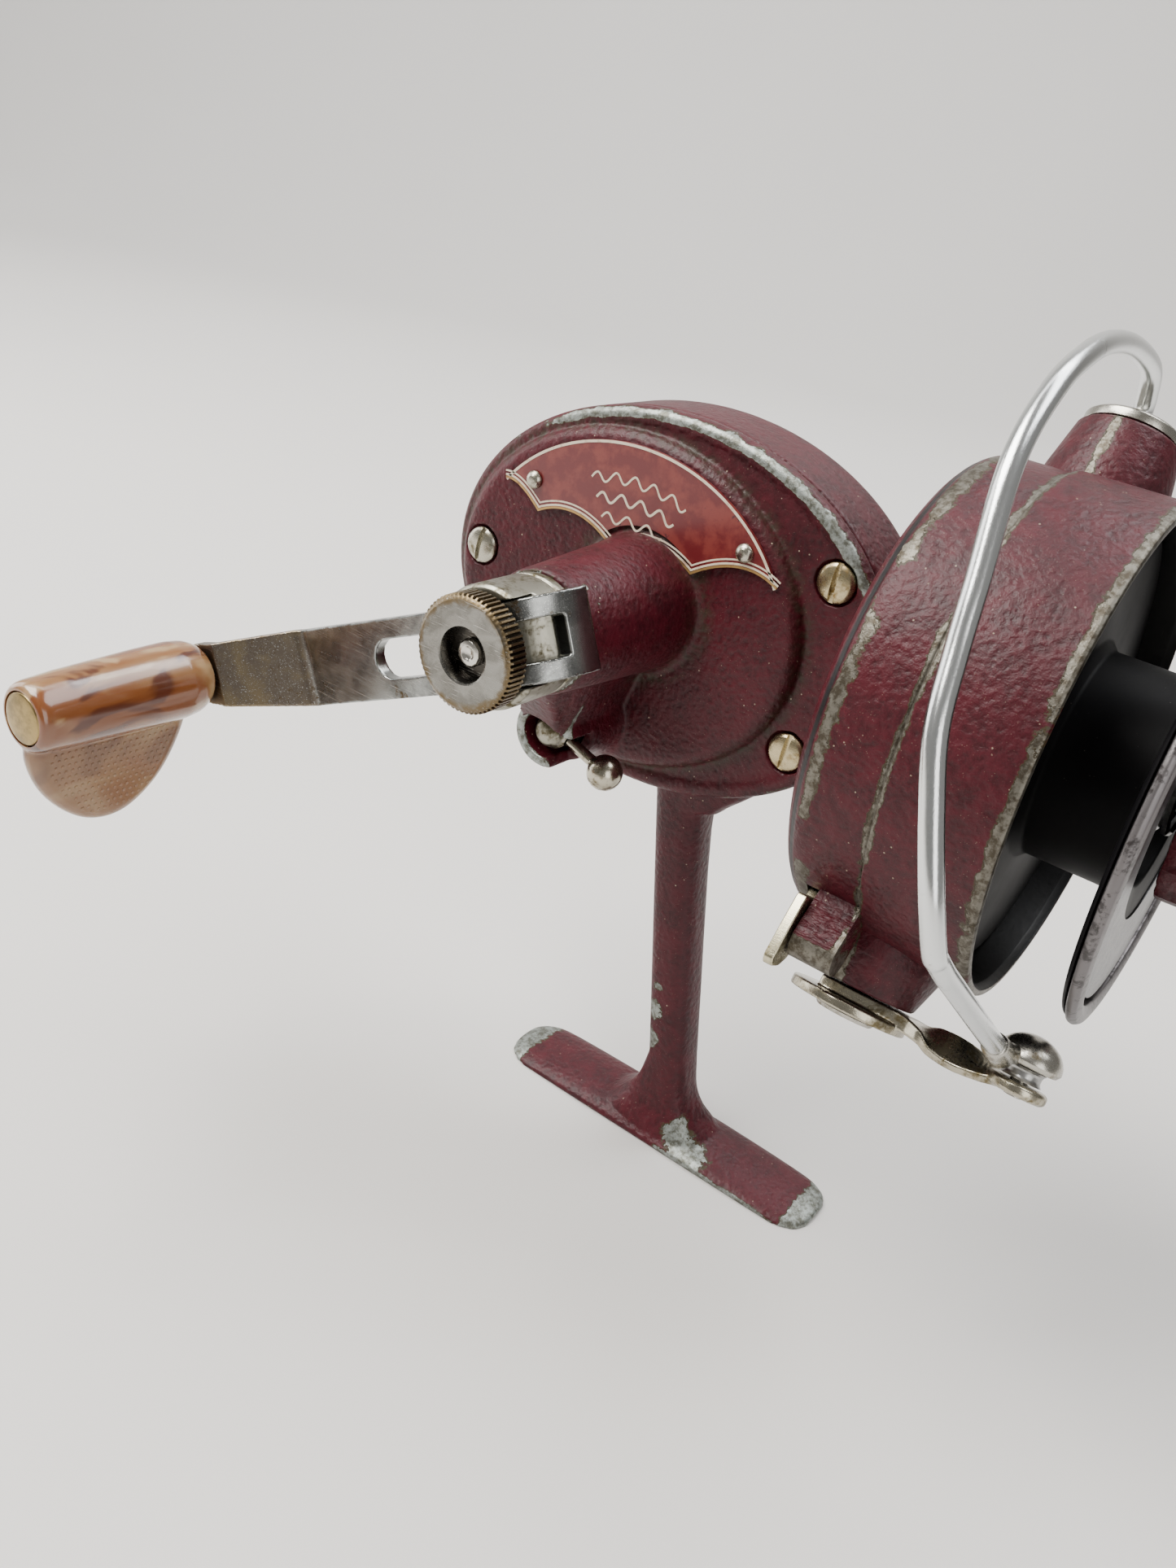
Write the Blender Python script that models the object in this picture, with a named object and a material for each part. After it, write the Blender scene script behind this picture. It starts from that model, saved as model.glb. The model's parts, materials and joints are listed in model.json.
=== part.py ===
"""A fixed-spool fishing reel with a folding crank, a full bail and an external anti-reverse lever.

Frame: +X points forward to the spool, -Y to the handle side, +Z away from the rod, and the origin is
the middle of the foot's flat underside. Every dimension below is in millimetres.
"""

import math

import bmesh
import bpy
from mathutils import Matrix, Vector

MM = 0.001                       # one millimetre in scene units
GAP = 0.3                        # air left between pieces that touch

# Axes
AXIS_Z = 94.3                    # height of the spool axis and of the crank axis
CRANK_X = -21.0                  # the crank axis crosses the spool axis here
BAIL_X = 33.0                    # station of the bail pivots
ROLLER_AT = 24.2                 # roller axis ahead of the pivots
BAIL_TILT = math.radians(30)     # lean of the bail's pivot axis from upright

# Body casting and side cover, an upright ellipse
BODY_X, BODY_Z = -19.7, 93.8
BODY_A, BODY_B = 38.8, 29.0
WALL = 2.0
SEAM_Y = -4.3                    # open face of the body casting
COVER_FACE = -6.9
PLATEAU_FACE = -9.0              # raised field that clears the drive gear
PLATEAU_X, PLATEAU_Z = -25.0, 93.0
PLATEAU_A, PLATEAU_B = 31.0, 25.2
FAR_FLAT, FAR_ROUND = 7.4, 4.4   # straight part and rounding of the far side
COVER_SCREWS = {"rear": (-52.0, 93.4), "front_top": (8.5, 107.2), "front_bottom": (8.0, 80.5)}

# Crank
BOSS_END = -34.0                 # mouth of the long boss on the cover
BOSS_BORE = 6.3
SHAFT_R = 4.0
HEAD_R = 8.5
CURL_R = 11.0                    # outer radius of the arm's curled root
ARM_OUT = -45.6                  # outer face of the arm beside the nut
ARM_THICK, ARM_WIDE = 2.0, 11.3
SLOT_FROM = 4.9                  # the slot's start, outward of the curl's centre
ARM_DROP = math.radians(25.5)      # the arm points back and down by this much
ARM_BEND_AT, ARM_BEND = 33.9, math.radians(40.7)
KNOB_AT, KNOB_LIFT = 48.3, 2.1   # knob axis to crank axis, along the arm and above its centreline
KNOB_BASE, KNOB_END, KNOB_R = -54.5, -82.9, 5.6

# Anti-reverse lever
LEVER_X, LEVER_Z = -24.9, 73.8
LEVER_MOUTH = -22.0
LEVER_DROP = math.radians(18)    # below level, pointing forward
LEVER_REACH, BALL_R = 10.6, 2.8

# Gears
TEETH_GEAR, TEETH_PINION = 32, 10
PINION_PITCH_R = 4.0
PINION_ROOT_R, PINION_TIP_R = 3.1, 4.7
GEAR_FACE = -5.0                 # plate surface between the teeth
TOOTH_H = 1.6
BAND_IN, BAND_OUT = 11.7, 14.2

# Rotor, spool and drag
ROTOR_BACK, ROTOR_RIM = 19.9, 47.6
ROTOR_R = 35.0
MAIN_R = 2.0
SPOOL_BACK, FLANGE_BACK = 41.0, 57.8
FLANGE_R, REAR_FLANGE_R, ARBOR_R = 32.5, 31.9, 14.6
SEAT_PIN_X = 39.9                # cross pin behind the spool
DRAG_R = 13.2

LOOKS = {
    "paint": ((0.16, 0.018, 0.035), 0.2, 0.5),
    "nickel": ((0.62, 0.60, 0.52), 1.0, 0.28),
    "steel": ((0.42, 0.42, 0.42), 1.0, 0.35),
    "brass": ((0.62, 0.44, 0.18), 1.0, 0.35),
    "alloy": ((0.66, 0.67, 0.68), 1.0, 0.35),
    "black": ((0.012, 0.012, 0.014), 0.0, 0.15),
    "marble": ((0.62, 0.40, 0.26), 0.0, 0.2),
    "enamel": ((0.42, 0.03, 0.05), 0.0, 0.25),
    "felt": ((0.30, 0.22, 0.14), 0.0, 0.9),
}


# ---------------------------------------------------------------- mesh helpers

def axes_at(point, along, side=(0.0, 0.0, 1.0)):
    """Local +Z along one direction and local +X as near as can be to another."""
    z = Vector(along).normalized()
    x = Vector(side) - z * Vector(side).dot(z)
    if x.length < 1e-6:
        x = z.orthogonal()
    x.normalize()
    turn = Matrix((x, z.cross(x), z)).transposed().to_4x4()
    return Matrix.Translation(Vector(point) * MM) @ turn


def material_for(name, look):
    colour, metallic, roughness = LOOKS[look]
    material = bpy.data.materials.new(name + "_material")
    material.use_nodes = True
    shader = material.node_tree.nodes["Principled BSDF"]
    shader.inputs["Base Color"].default_value = (*colour, 1.0)
    shader.inputs["Metallic"].default_value = metallic
    shader.inputs["Roughness"].default_value = roughness
    return material


def loft(name, rings, look, place=None, wrap=False):
    """A closed skin over rings of equal count; the ends are capped, or joined when it wraps."""
    mesh = bmesh.new()
    loops = [[mesh.verts.new(Vector(p) * MM) for p in ring] for ring in rings]
    count = len(loops[0])
    pairs = list(zip(loops, loops[1:]))
    if wrap:
        pairs.append((loops[-1], loops[0]))
    for low, high in pairs:
        for i in range(count):
            j = (i + 1) % count
            mesh.faces.new((low[i], low[j], high[j], high[i]))
    if not wrap:
        mesh.faces.new(loops[0][::-1])
        mesh.faces.new(loops[-1])
    bmesh.ops.remove_doubles(mesh, verts=mesh.verts, dist=1e-6)
    bmesh.ops.recalc_face_normals(mesh, faces=mesh.faces)
    data = bpy.data.meshes.new(name)
    mesh.to_mesh(data)
    mesh.free()
    data.shade_smooth()
    data.set_sharp_from_angle(angle=math.radians(32))
    piece = bpy.data.objects.new(name, data)
    bpy.context.collection.objects.link(piece)
    if place is not None:
        piece.matrix_world = place
    data.materials.append(material_for(name, look))
    return piece


def circle(radius, z, count, start=0.0):
    steps = (start + math.tau * i / count for i in range(count))
    return [(radius * math.cos(t), radius * math.sin(t), z) for t in steps]


def turned(name, profile, point, along, look, count=24, wrap=False, side=(0, 0, 1)):
    """A turned piece: profile is a list of (distance along the axis, radius)."""
    rings = [circle(max(r, 0.0), a, count) for a, r in profile]
    return loft(name, rings, look, axes_at(point, along, side), wrap)


def tube(name, low, high, inner, outer, point, along, look, count=24):
    profile = [(low, inner), (low, outer), (high, outer), (high, inner)]
    return turned(name, profile, point, along, look, count, wrap=True)


def prism(name, outline, low, high, point, along, side, look):
    rings = [[(x, y, z) for x, y in outline] for z in (low, high)]
    return loft(name, rings, look, axes_at(point, along, side))


def block(name, low, high, look="steel"):
    """A box between two corners in world millimetres."""
    outline = [(low[0], low[1]), (high[0], low[1]), (high[0], high[1]), (low[0], high[1])]
    rings = [[(x, y, z) for x, y in outline] for z in (low[2], high[2])]
    return loft(name, rings, look)


def sweep(name, path, radius, sides, look, place=None):
    """A round bar along a smooth path, its section carried without twist."""
    points = [Vector(p) for p in path]
    tangents = [(points[min(i + 1, len(points) - 1)] - points[max(i - 1, 0)]).normalized()
                for i in range(len(points))]
    normal = tangents[0].orthogonal().normalized()
    rings = []
    for point, tangent in zip(points, tangents):
        normal = (normal - tangent * normal.dot(tangent)).normalized()
        other = tangent.cross(normal)
        rings.append([point + normal * x + other * y for x, y, _ in circle(radius, 0.0, sides)])
    return loft(name, rings, look, place)


def boolean(target, tool, operation):
    step = target.modifiers.new(operation.title(), "BOOLEAN")
    step.operation = operation
    step.solver = "EXACT"
    step.object = tool
    tool.hide_render = True
    tool.display_type = "WIRE"
    return target


def cut(target, *tools):
    for tool in tools:
        boolean(target, tool, "DIFFERENCE")
    return target


def unite(target, *tools):
    for tool in tools:
        boolean(target, tool, "UNION")
    return target


def origin_on(piece, point):
    """Put a piece's origin on its joint axis without moving its skin."""
    shift = piece.matrix_world.inverted() @ (Vector(point) * MM)
    piece.data.transform(Matrix.Translation(-shift))
    piece.matrix_world = piece.matrix_world @ Matrix.Translation(shift)
    return piece


def on_y(x, z, y=0.0):
    """A point on an axis that runs along Y."""
    return (x, y, z)


def smooth_path(points, steps):
    """Points read evenly from a Catmull-Rom curve through a hand-placed route."""
    knots = [Vector(p) for p in points]
    knots = [2 * knots[0] - knots[1]] + knots + [2 * knots[-1] - knots[-2]]
    path = []
    for i in range(1, len(knots) - 2):
        a, b, c, d = knots[i - 1:i + 3]
        for k in range(steps):
            t = k / steps
            path.append(0.5 * (2 * b + (c - a) * t + (2 * a - 5 * b + 4 * c - d) * t ** 2
                               + (3 * b - a - 3 * c + d) * t ** 3))
    path.append(knots[-2])
    return path


FORWARD = (1, 0, 0)
OUTWARD = (0, -1, 0)             # away from the body on the handle side
FAR = (0, 1, 0)
UP = (0, 0, 1)
MAIN = (0, 0, AXIS_Z)            # a point on the spool axis
PIVOT = Vector((0, math.sin(BAIL_TILT), math.cos(BAIL_TILT)))
LOOP = Vector((0, -math.cos(BAIL_TILT), math.sin(BAIL_TILT)))
BAIL_CENTRE = Vector((BAIL_X, 0, AXIS_Z))
ARM = Vector((-math.cos(ARM_DROP), 0, -math.sin(ARM_DROP)))
ARM_ACROSS = Vector((math.sin(ARM_DROP), 0, -math.cos(ARM_DROP)))


def bail_place(sign=1):
    """Local +Z runs outward along the bail's pivot axis, local +X forward."""
    return axes_at(BAIL_CENTRE, PIVOT * sign, FORWARD)


def crank_place():
    """Local +X along the arm, local +Z outward along the crank axis, zero on the spool axis."""
    return axes_at((CRANK_X, 0, AXIS_Z), OUTWARD, ARM)


# ---------------------------------------------------------------- body and cover

def ellipse_ring(y, inset, count=32, centre=(BODY_X, BODY_Z), semi=(BODY_A, BODY_B)):
    steps = (math.tau * i / count for i in range(count))
    return [(centre[0] + (semi[0] - inset) * math.cos(t), y, centre[1] + (semi[1] - inset) * math.sin(t))
            for t in steps]


def dome_rings(y, radius, inset, steps=3):
    angles = (math.pi / 2 * i / steps for i in range(steps + 1))
    return [ellipse_ring(y + radius * math.sin(t), inset + radius * (1 - math.cos(t))) for t in angles]


def rounded_section(x, z, half_x, half_y, count=16):
    """A stem section, squarer than an ellipse."""
    ring = []
    for i in range(count):
        t = math.tau * (i + 0.5) / count
        c, s = math.cos(t), math.sin(t)
        swell = (abs(c) ** 3 + abs(s) ** 3) ** (-1 / 3)
        ring.append((x + half_x * c * swell, half_y * s * swell, z))
    return ring


def stem():
    """The stem leans back as it rises and flares into the foot and into the casing."""
    stations = [(1.2, -11.0, 12.5, 6.6), (3.2, -9.0, 10.5, 6.0), (5.5, -6.6, 7.6, 5.0), (9.0, -4.9, 5.2, 4.4),
                (15.0, -4.0, 3.7, 4.0), (58.0, -13.2, -4.4, 4.0), (63.0, -14.4, -2.8, 4.0),
                (67.5, -16.0, 1.4, 4.1), (73.0, -19.0, 6.5, 4.1)]
    rings = [rounded_section((a + b) / 2, z, (b - a) / 2, half) for z, a, b, half in stations]
    return loft("stem_solid", rings, "paint")


def foot_section(x, half, height, edge=0.9, count=7):
    ring = [(x, half, 0.0), (x, half, edge * height / 3)]
    for i in range(count):
        t = math.pi * (i + 1) / (count + 1)
        ring.append((x, half * 0.94 * math.cos(t), edge * height / 3 + (1 - edge / 3) * height * math.sin(t)))
    ring += [(x, -half, edge * height / 3), (x, -half, 0.0)]
    return ring


def foot():
    stations = [(-31.0, 2.2, 1.0), (-30.4, 4.4, 1.3), (-28.6, 6.2, 1.6), (-25.0, 7.3, 1.9), (-12.0, 7.5, 2.7),
                (2.0, 7.5, 3.0), (15.0, 7.5, 2.7), (27.0, 7.3, 1.9), (30.6, 6.2, 1.6), (32.4, 4.4, 1.3),
                (33.0, 2.2, 1.0)]
    return loft("foot_solid", [foot_section(*s) for s in stations], "paint")


def body_housing():
    outer = loft("body_housing", [ellipse_ring(SEAM_Y, 0.0)] + dome_rings(FAR_FLAT, FAR_ROUND, 0.0), "paint")
    inside = [ellipse_ring(SEAM_Y - 1, WALL)] + dome_rings(FAR_FLAT, FAR_ROUND - WALL, WALL)
    unite(outer, stem(), foot())
    cut(outer, loft("cavity", inside, "paint"))
    for name, (x, z) in COVER_SCREWS.items():
        post = turned("post_" + name, [(4.4, 3.9), (-10.6, 3.9)], on_y(x, z), OUTWARD, "paint", 12)
        tap = turned("tap_" + name, [(5.5, 1.5), (-5.0, 1.5)], on_y(x, z), OUTWARD, "paint", 12)
        cut(unite(outer, post), tap)
    saddle = block("bearing_saddle", (7.0, SEAM_Y, AXIS_Z - 7.5), (17.8, 10.6, AXIS_Z + 7.5))
    rod_block = block("rod_block", (-38.0, 3.2, AXIS_Z - 3.0), (-34.0, 10.6, AXIS_Z + 3.0))
    unite(outer, saddle, rod_block)
    bore = turned("bearing_bore", [(5.0, 5.3), (24.0, 5.3)], MAIN, FORWARD, "paint", 24)
    rod_hole = turned("rod_hole", [(-35.9, 1.5), (11.0, 1.5)], (0, 6.4, AXIS_Z), FORWARD, "paint", 12)
    return cut(outer, bore, rod_hole)


def side_cover():
    """Elliptical cover with a rim bead, the raised gear field, the crank boss and the lever lug."""
    plate = [(SEAM_Y - GAP, 0.0), (-6.6, 0.0), (-7.3, 0.5), (-7.3, 1.2), (COVER_FACE, 1.8)]
    cover = loft("side_cover", [ellipse_ring(y, inset) for y, inset in plate], "paint")
    field = [(-5.5, -0.9), (COVER_FACE - 0.3, -0.6), (-8.3, -0.1), (-8.8, 0.5), (PLATEAU_FACE, 1.2)]
    raised = loft("raised_field", [ellipse_ring(y, inset, 32, (PLATEAU_X, PLATEAU_Z), (PLATEAU_A, PLATEAU_B))
                                   for y, inset in field], "paint")
    trim = loft("field_trim", [ellipse_ring(-12.0, 1.0), ellipse_ring(-5.0, 1.0)], "paint")
    boolean(raised, trim, "INTERSECT")
    flare = [(8.0, 11.8), (9.0, 11.4), (9.8, 10.7), (11.6, 10.3)]
    boss = turned("crank_boss", flare + [(33.6, 8.9), (-BOSS_END, 8.6)],
                  (CRANK_X, 0, AXIS_Z), OUTWARD, "paint", 20)
    lug = turned("lever_lug", [(8.0, 7.4), (9.6, 6.3), (12.0, 5.7), (21.6, 5.5), (-LEVER_MOUTH, 5.2)],
                 (LEVER_X, 0, LEVER_Z), OUTWARD, "paint", 18)
    web = [[(LEVER_X - w, y, LEVER_Z), (LEVER_X + w, y, LEVER_Z), (CRANK_X + w + 1, y, AXIS_Z - top),
            (CRANK_X - w - 1, y, AXIS_Z - top)]
           for y, w, top in ((-8.0, 4.2, 2.0), (-22.0, 3.6, 6.0), (-32.0, 1.4, 8.0))]
    web[2] = [(x, y, z + (12.0 if i < 2 else 0.0)) for i, (x, y, z) in enumerate(web[2])]
    unite(cover, raised, boss, lug, loft("lug_web", web, "paint"))
    recess = turned("gear_recess", [(3.5, 18.2), (7.5, 18.2)], (CRANK_X, 0, AXIS_Z), OUTWARD, "paint", 28)
    pawl_recess = turned("pawl_recess", [(3.5, 5.6), (7.5, 5.6)], (LEVER_X, 0, LEVER_Z), OUTWARD, "paint", 20)
    shaft_bore = turned("shaft_bore", [(3.0, BOSS_BORE), (40.0, BOSS_BORE)], (CRANK_X, 0, AXIS_Z), OUTWARD,
                        "paint", 24)
    pin_bore = turned("pin_bore", [(3.0, 2.5), (12.0, 2.5), (12.0, 3.7), (25.0, 3.7)],
                      (LEVER_X, 0, LEVER_Z), OUTWARD, "paint", 20)
    relief = turned("sleeve_relief", [(-16.0, 5.4), (22.0, 5.4)], MAIN, FORWARD, "paint", 24)
    cut(cover, recess, pawl_recess, shaft_bore, pin_bore, relief, lever_notch())
    for name, (x, z) in COVER_SCREWS.items():
        face = -PLATEAU_FACE if name == "rear" else -COVER_FACE
        hole = [(3.0, 1.5), (face - 0.9, 1.5), (face - 0.9, 3.3), (14.0, 3.3)]
        cut(cover, turned("hole_" + name, hole, on_y(x, z), OUTWARD, "paint", 16))
    for name, (x, z) in RIVETS.items():
        cut(cover, turned("rivet_hole_" + name, [(7.0, 0.8), (12.0, 0.8)], on_y(x, z), OUTWARD, "paint", 10))
    return cover


def lever_notch():
    """The side window that lets the lever's rod out of its lug and bounds its travel."""
    low, high = math.radians(-66), math.radians(12)
    reach = 9.0
    fan = [(0.0, 0.0)] + [(reach * math.cos(low + (high - low) * i / 4),
                           reach * math.sin(low + (high - low) * i / 4)) for i in range(5)]
    rings = [[(LEVER_X + x, y, LEVER_Z + z) for x, z in fan] for y in (-24.0, -16.6)]
    return loft("lever_notch", rings, "paint")


def cover_screw(name, x, z):
    """Slotted pan head in a counterbore, with a plain shank."""
    face = -PLATEAU_FACE if name == "rear" else -COVER_FACE
    seat = face - 0.9 + GAP
    profile = [(seat - 9.0, 1.0), (seat - 8.6, 1.2), (seat, 1.2), (seat, 2.95), (seat + 0.7, 2.95),
               (seat + 1.15, 2.4), (seat + 1.4, 1.2)]
    screw = turned("cover_screw_" + name, profile, on_y(x, z), OUTWARD, "nickel", 16, side=(0.25, 0, 1))
    slot = prism("slot_" + name, [(-4, -0.4), (4, -0.4), (4, 0.4), (-4, 0.4)], seat + 0.75, seat + 3,
                 on_y(x, z), OUTWARD, (0.25, 0, 1), "nickel")
    return cut(screw, slot)


PLATE_CENTRE, PLATE_SEMI = (-24.2, 93.0), (28.6, 24.2)
PLATE_SPAN = (math.radians(27.5), math.radians(148.5))
PLATE_CUSPS = [(-41.5, 102.4), (-27.4, 101.4), (-12.7, 101.7)]
RIVETS = {"rear": (-43.0, 107.0), "front": (-4.8, 107.6)}


def plate_arc(t):
    return (PLATE_CENTRE[0] + PLATE_SEMI[0] * math.cos(t), PLATE_CENTRE[1] + PLATE_SEMI[1] * math.sin(t))


def scallop(a, b, rise=0.16, steps=5):
    """A shallow arc between two cusps, bulging to the right of the way from a to b."""
    across = (b[0] - a[0], b[1] - a[1])
    return [(a[0] + across[0] * t + across[1] * -4 * rise * t * (t - 1) * -1,
             a[1] + across[1] * t + across[0] * 4 * rise * t * (1 - t))
            for t in (i / steps for i in range(steps))]


def plate_outline():
    """Crescent: an elliptical upper edge and four scallops below it."""
    start, end = PLATE_SPAN
    upper = [plate_arc(start + (end - start) * i / 20) for i in range(20)]
    corners = [plate_arc(end)] + PLATE_CUSPS + [plate_arc(start)]
    lower = [p for a, b in zip(corners, corners[1:]) for p in scallop(a, b)]
    return upper + lower


def name_plate():
    rings = [[(x, y, z) for x, z in plate_outline()] for y in (PLATEAU_FACE - 0.1, PLATEAU_FACE - 0.7)]
    plate = loft("name_plate", rings, "enamel")
    boss = turned("boss_clearance", [(8.0, 11.7), (12.0, 11.7)], (CRANK_X, 0, AXIS_Z), OUTWARD, "enamel", 32)
    cut(plate, boss)
    for name, (x, z) in RIVETS.items():
        cut(plate, turned("plate_hole_" + name, [(8.0, 0.8), (12.0, 0.8)], on_y(x, z), OUTWARD, "enamel", 10))
    for name, (x, z) in RIVETS.items():
        profile = [(7.8, 0.55), (9.8, 0.55), (9.8, 1.35), (10.3, 1.2), (10.7, 0.75), (10.85, 0.0)]
        turned("plate_rivet_" + name, profile, on_y(x, z), OUTWARD, "nickel", 10)


def bushes():
    tube("crank_bush_outer", 24.5, 33.6, 4.1, 6.0, (CRANK_X, 0, AXIS_Z), OUTWARD, "brass", 20)
    tube("crank_bush_inner", 8.2, 15.0, 4.1, 6.0, (CRANK_X, 0, AXIS_Z), OUTWARD, "brass", 20)
    tube("front_bush", 7.2, 18.6, 4.0, 5.0, MAIN, FORWARD, "brass", 20)
    turned("guide_rod", [(-35.6, 1.2), (10.6, 1.2)], (0, 6.4, AXIS_Z), FORWARD, "steel", 12)


# ---------------------------------------------------------------- crank, arm and knob

def crank_shaft():
    """Shaft with a forked head; the fork's floor is round so the curled arm can roll over it."""
    centre = -ARM_OUT - CURL_R
    profile = [(4.6, 2.9), (7.5, 2.9), (7.5, SHAFT_R), (34.3, SHAFT_R), (34.3, HEAD_R), (44.6, HEAD_R),
               (45.2, HEAD_R - 0.6)]
    shaft = turned("crank_shaft", profile, (CRANK_X, 0, AXIS_Z), OUTWARD, "nickel", 24)
    lane = ARM_WIDE / 2 + 0.2
    floor = [((CURL_R - ARM_THICK - 0.3) * math.cos(t), centre + (CURL_R - ARM_THICK - 0.3) * math.sin(t))
             for t in (math.pi * i / 12 for i in range(13))]
    outline = [(14, centre), (14, 60), (-14, 60), (-14, centre)] + floor[::-1]
    side = axes_at((CRANK_X, 0, AXIS_Z), ARM_ACROSS, ARM)
    rings = [[(x, -y, z) for x, y in outline] for z in (-lane, lane)]
    # local +Y of this frame points along +Y of the world, so outward distances are negative
    cut(shaft, loft("fork_lane", rings, "nickel", side))
    stud_hole = turned("stud_hole", [(36.0, 1.7), (50.0, 1.7)], (CRANK_X, 0, AXIS_Z), OUTWARD, "nickel", 16)
    pin_hole = turned("pin_seat", [(4.0, 1.15), (6.6, 1.15)], (CRANK_X, 0, AXIS_Z), OUTWARD, "nickel", 12)
    return cut(shaft, stud_hole, pin_hole)


def arm_section(length, outward, slope, half):
    """One section of the strip: slope turns its outer face, and past the bend it leans up to the knob."""
    lean = KNOB_LIFT * max(0.0, length - ARM_BEND_AT) / (KNOB_AT - ARM_BEND_AT)
    ring = []
    for depth, across in ((0, -half), (0, half), (ARM_THICK, half), (ARM_THICK, -half)):
        ring.append((length - depth * math.sin(slope), across - lean, outward - depth * math.cos(slope)))
    return ring


def crank_arm():
    """Strip with a quarter-circle root around the fork, a bend and a slot for the stud."""
    centre = -ARM_OUT - CURL_R
    half = ARM_WIDE / 2
    rings = []
    for i in range(9):
        t = math.radians(-86 + 86 * i / 8)
        rings.append(arm_section(CURL_R * math.sin(t), centre + CURL_R * math.cos(t), t, half))
    rings.append(arm_section(ARM_BEND_AT - 0.6, -ARM_OUT, 0.0, half))
    rings.append(arm_section(ARM_BEND_AT + 0.6, -ARM_OUT + 0.35, -ARM_BEND, half))
    tip = KNOB_AT + 4.3
    flat_from = KNOB_AT - 4.4
    for length, half_here in ((flat_from, 4.7), (flat_from + 1.0, 4.6), (KNOB_AT, 4.4), (KNOB_AT + 2.4, 3.6),
                              (tip - 0.5, 2.0)):
        rise = (min(length, flat_from) - ARM_BEND_AT) * math.tan(ARM_BEND)
        slope = -ARM_BEND if length < flat_from + 0.5 else 0.0
        rings.append(arm_section(length, -ARM_OUT + rise, slope, half_here))
    arm = origin_on(loft("crank_arm", rings, "nickel", crank_place()), (CRANK_X, -centre, AXIS_Z))
    slot_end = 20.0
    window = [(-14, -2.8), (slot_end - 2.8, -2.8), (slot_end - 0.8, -2.0), (slot_end, 0.0),
              (slot_end - 0.8, 2.0), (slot_end - 2.8, 2.8), (-14, 2.8)]
    place = (CRANK_X, 0, AXIS_Z)
    cut(arm, prism("arm_slot", window, centre + SLOT_FROM, 50.0, place, OUTWARD, ARM, "nickel"))
    tip_hole = turned("knob_hole", [(50.0, 1.9), (60.0, 1.9)], knob_point(), OUTWARD, "nickel", 16)
    return cut(arm, tip_hole)


def knob_point():
    return tuple(Vector((CRANK_X, 0, AXIS_Z)) + ARM * KNOB_AT - ARM_ACROSS * KNOB_LIFT)


def handle_stud_and_nut():
    point = (CRANK_X, 0, AXIS_Z)
    profile = [(36.3, 1.45), (47.4, 1.45), (47.4, 1.9), (48.2, 1.9), (48.7, 1.2), (48.7, 0.5), (48.2, 0.0)]
    turned("handle_stud", profile, point, OUTWARD, "nickel", 16)
    low, high = -ARM_OUT + GAP, -ARM_OUT + GAP + 3.8
    knurls = 22
    ring = []
    for i in range(knurls):
        ring += [(8.0, math.tau * i / knurls), (7.65, math.tau * (i + 0.5) / knurls)]
    outer = [[(r * s * math.cos(t), r * s * math.sin(t), z) for r, t in ring]
             for z, s in ((low, 0.95), (low + 0.4, 1.0), (high - 0.4, 1.0), (high, 0.95))]
    inner = [[(r * math.cos(t), r * math.sin(t), z) for _, t in ring]
             for z, r in ((high, 3.7), (low + 1.4, 3.4), (low + 1.4, 1.75), (low, 1.75))]
    loft("handle_nut", outer + inner, "nickel", axes_at(point, OUTWARD), wrap=True)


# The paddle's edge, as distance out from the knob's base and height from its axis
PADDLE = [(1.5, -1.0), (3.1, -8.0), (7.1, -14.6), (13.1, -18.5), (19.4, -17.8), (25.2, -12.8), (28.0, -6.5),
          (27.4, -1.0)]
PADDLE_MIDDLE = (15.0, -7.5)


def handle_knob():
    """Barrel grip with one thin teardrop paddle below it."""
    point = knob_point()
    profile = [(-KNOB_BASE, 4.4), (-KNOB_BASE + 0.8, 5.2), (-KNOB_BASE + 3.0, KNOB_R), (-KNOB_END - 3.0, 5.2),
               (-KNOB_END - 0.8, 4.9), (-KNOB_END, 4.4)]
    knob = turned("handle_knob", profile, point, OUTWARD, "marble", 20)
    edge = smooth_path([(inward, drop, 0.0) for inward, drop in PADDLE], 3)
    middle, sink = PADDLE_MIDDLE
    rings = []
    for thick, scale in ((-1.5, 0.92), (-0.7, 1.0), (0.7, 1.0), (1.5, 0.92)):
        rings.append([(point[0] + thick, KNOB_BASE - middle - scale * (p.x - middle),
                       point[2] + sink + scale * (p.y - sink)) for p in edge])
    unite(knob, loft("paddle", rings, "marble"))
    bore = turned("knob_bore", [(50.0, 1.75), (-KNOB_END - 1.6, 1.75), (-KNOB_END - 1.6, 4.05), (90.0, 4.05)],
                  point, OUTWARD, "marble", 20)
    cut(knob, bore)
    pin = [(53.0, 1.6), (-KNOB_END - 1.3, 1.6), (-KNOB_END - 1.3, 3.7), (-KNOB_END - 0.1, 3.7),
           (-KNOB_END + 0.3, 3.0), (-KNOB_END + 0.5, 0.0)]
    turned("knob_spindle", pin, point, OUTWARD, "brass", 20)


# ---------------------------------------------------------------- gears and shafts

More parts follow.
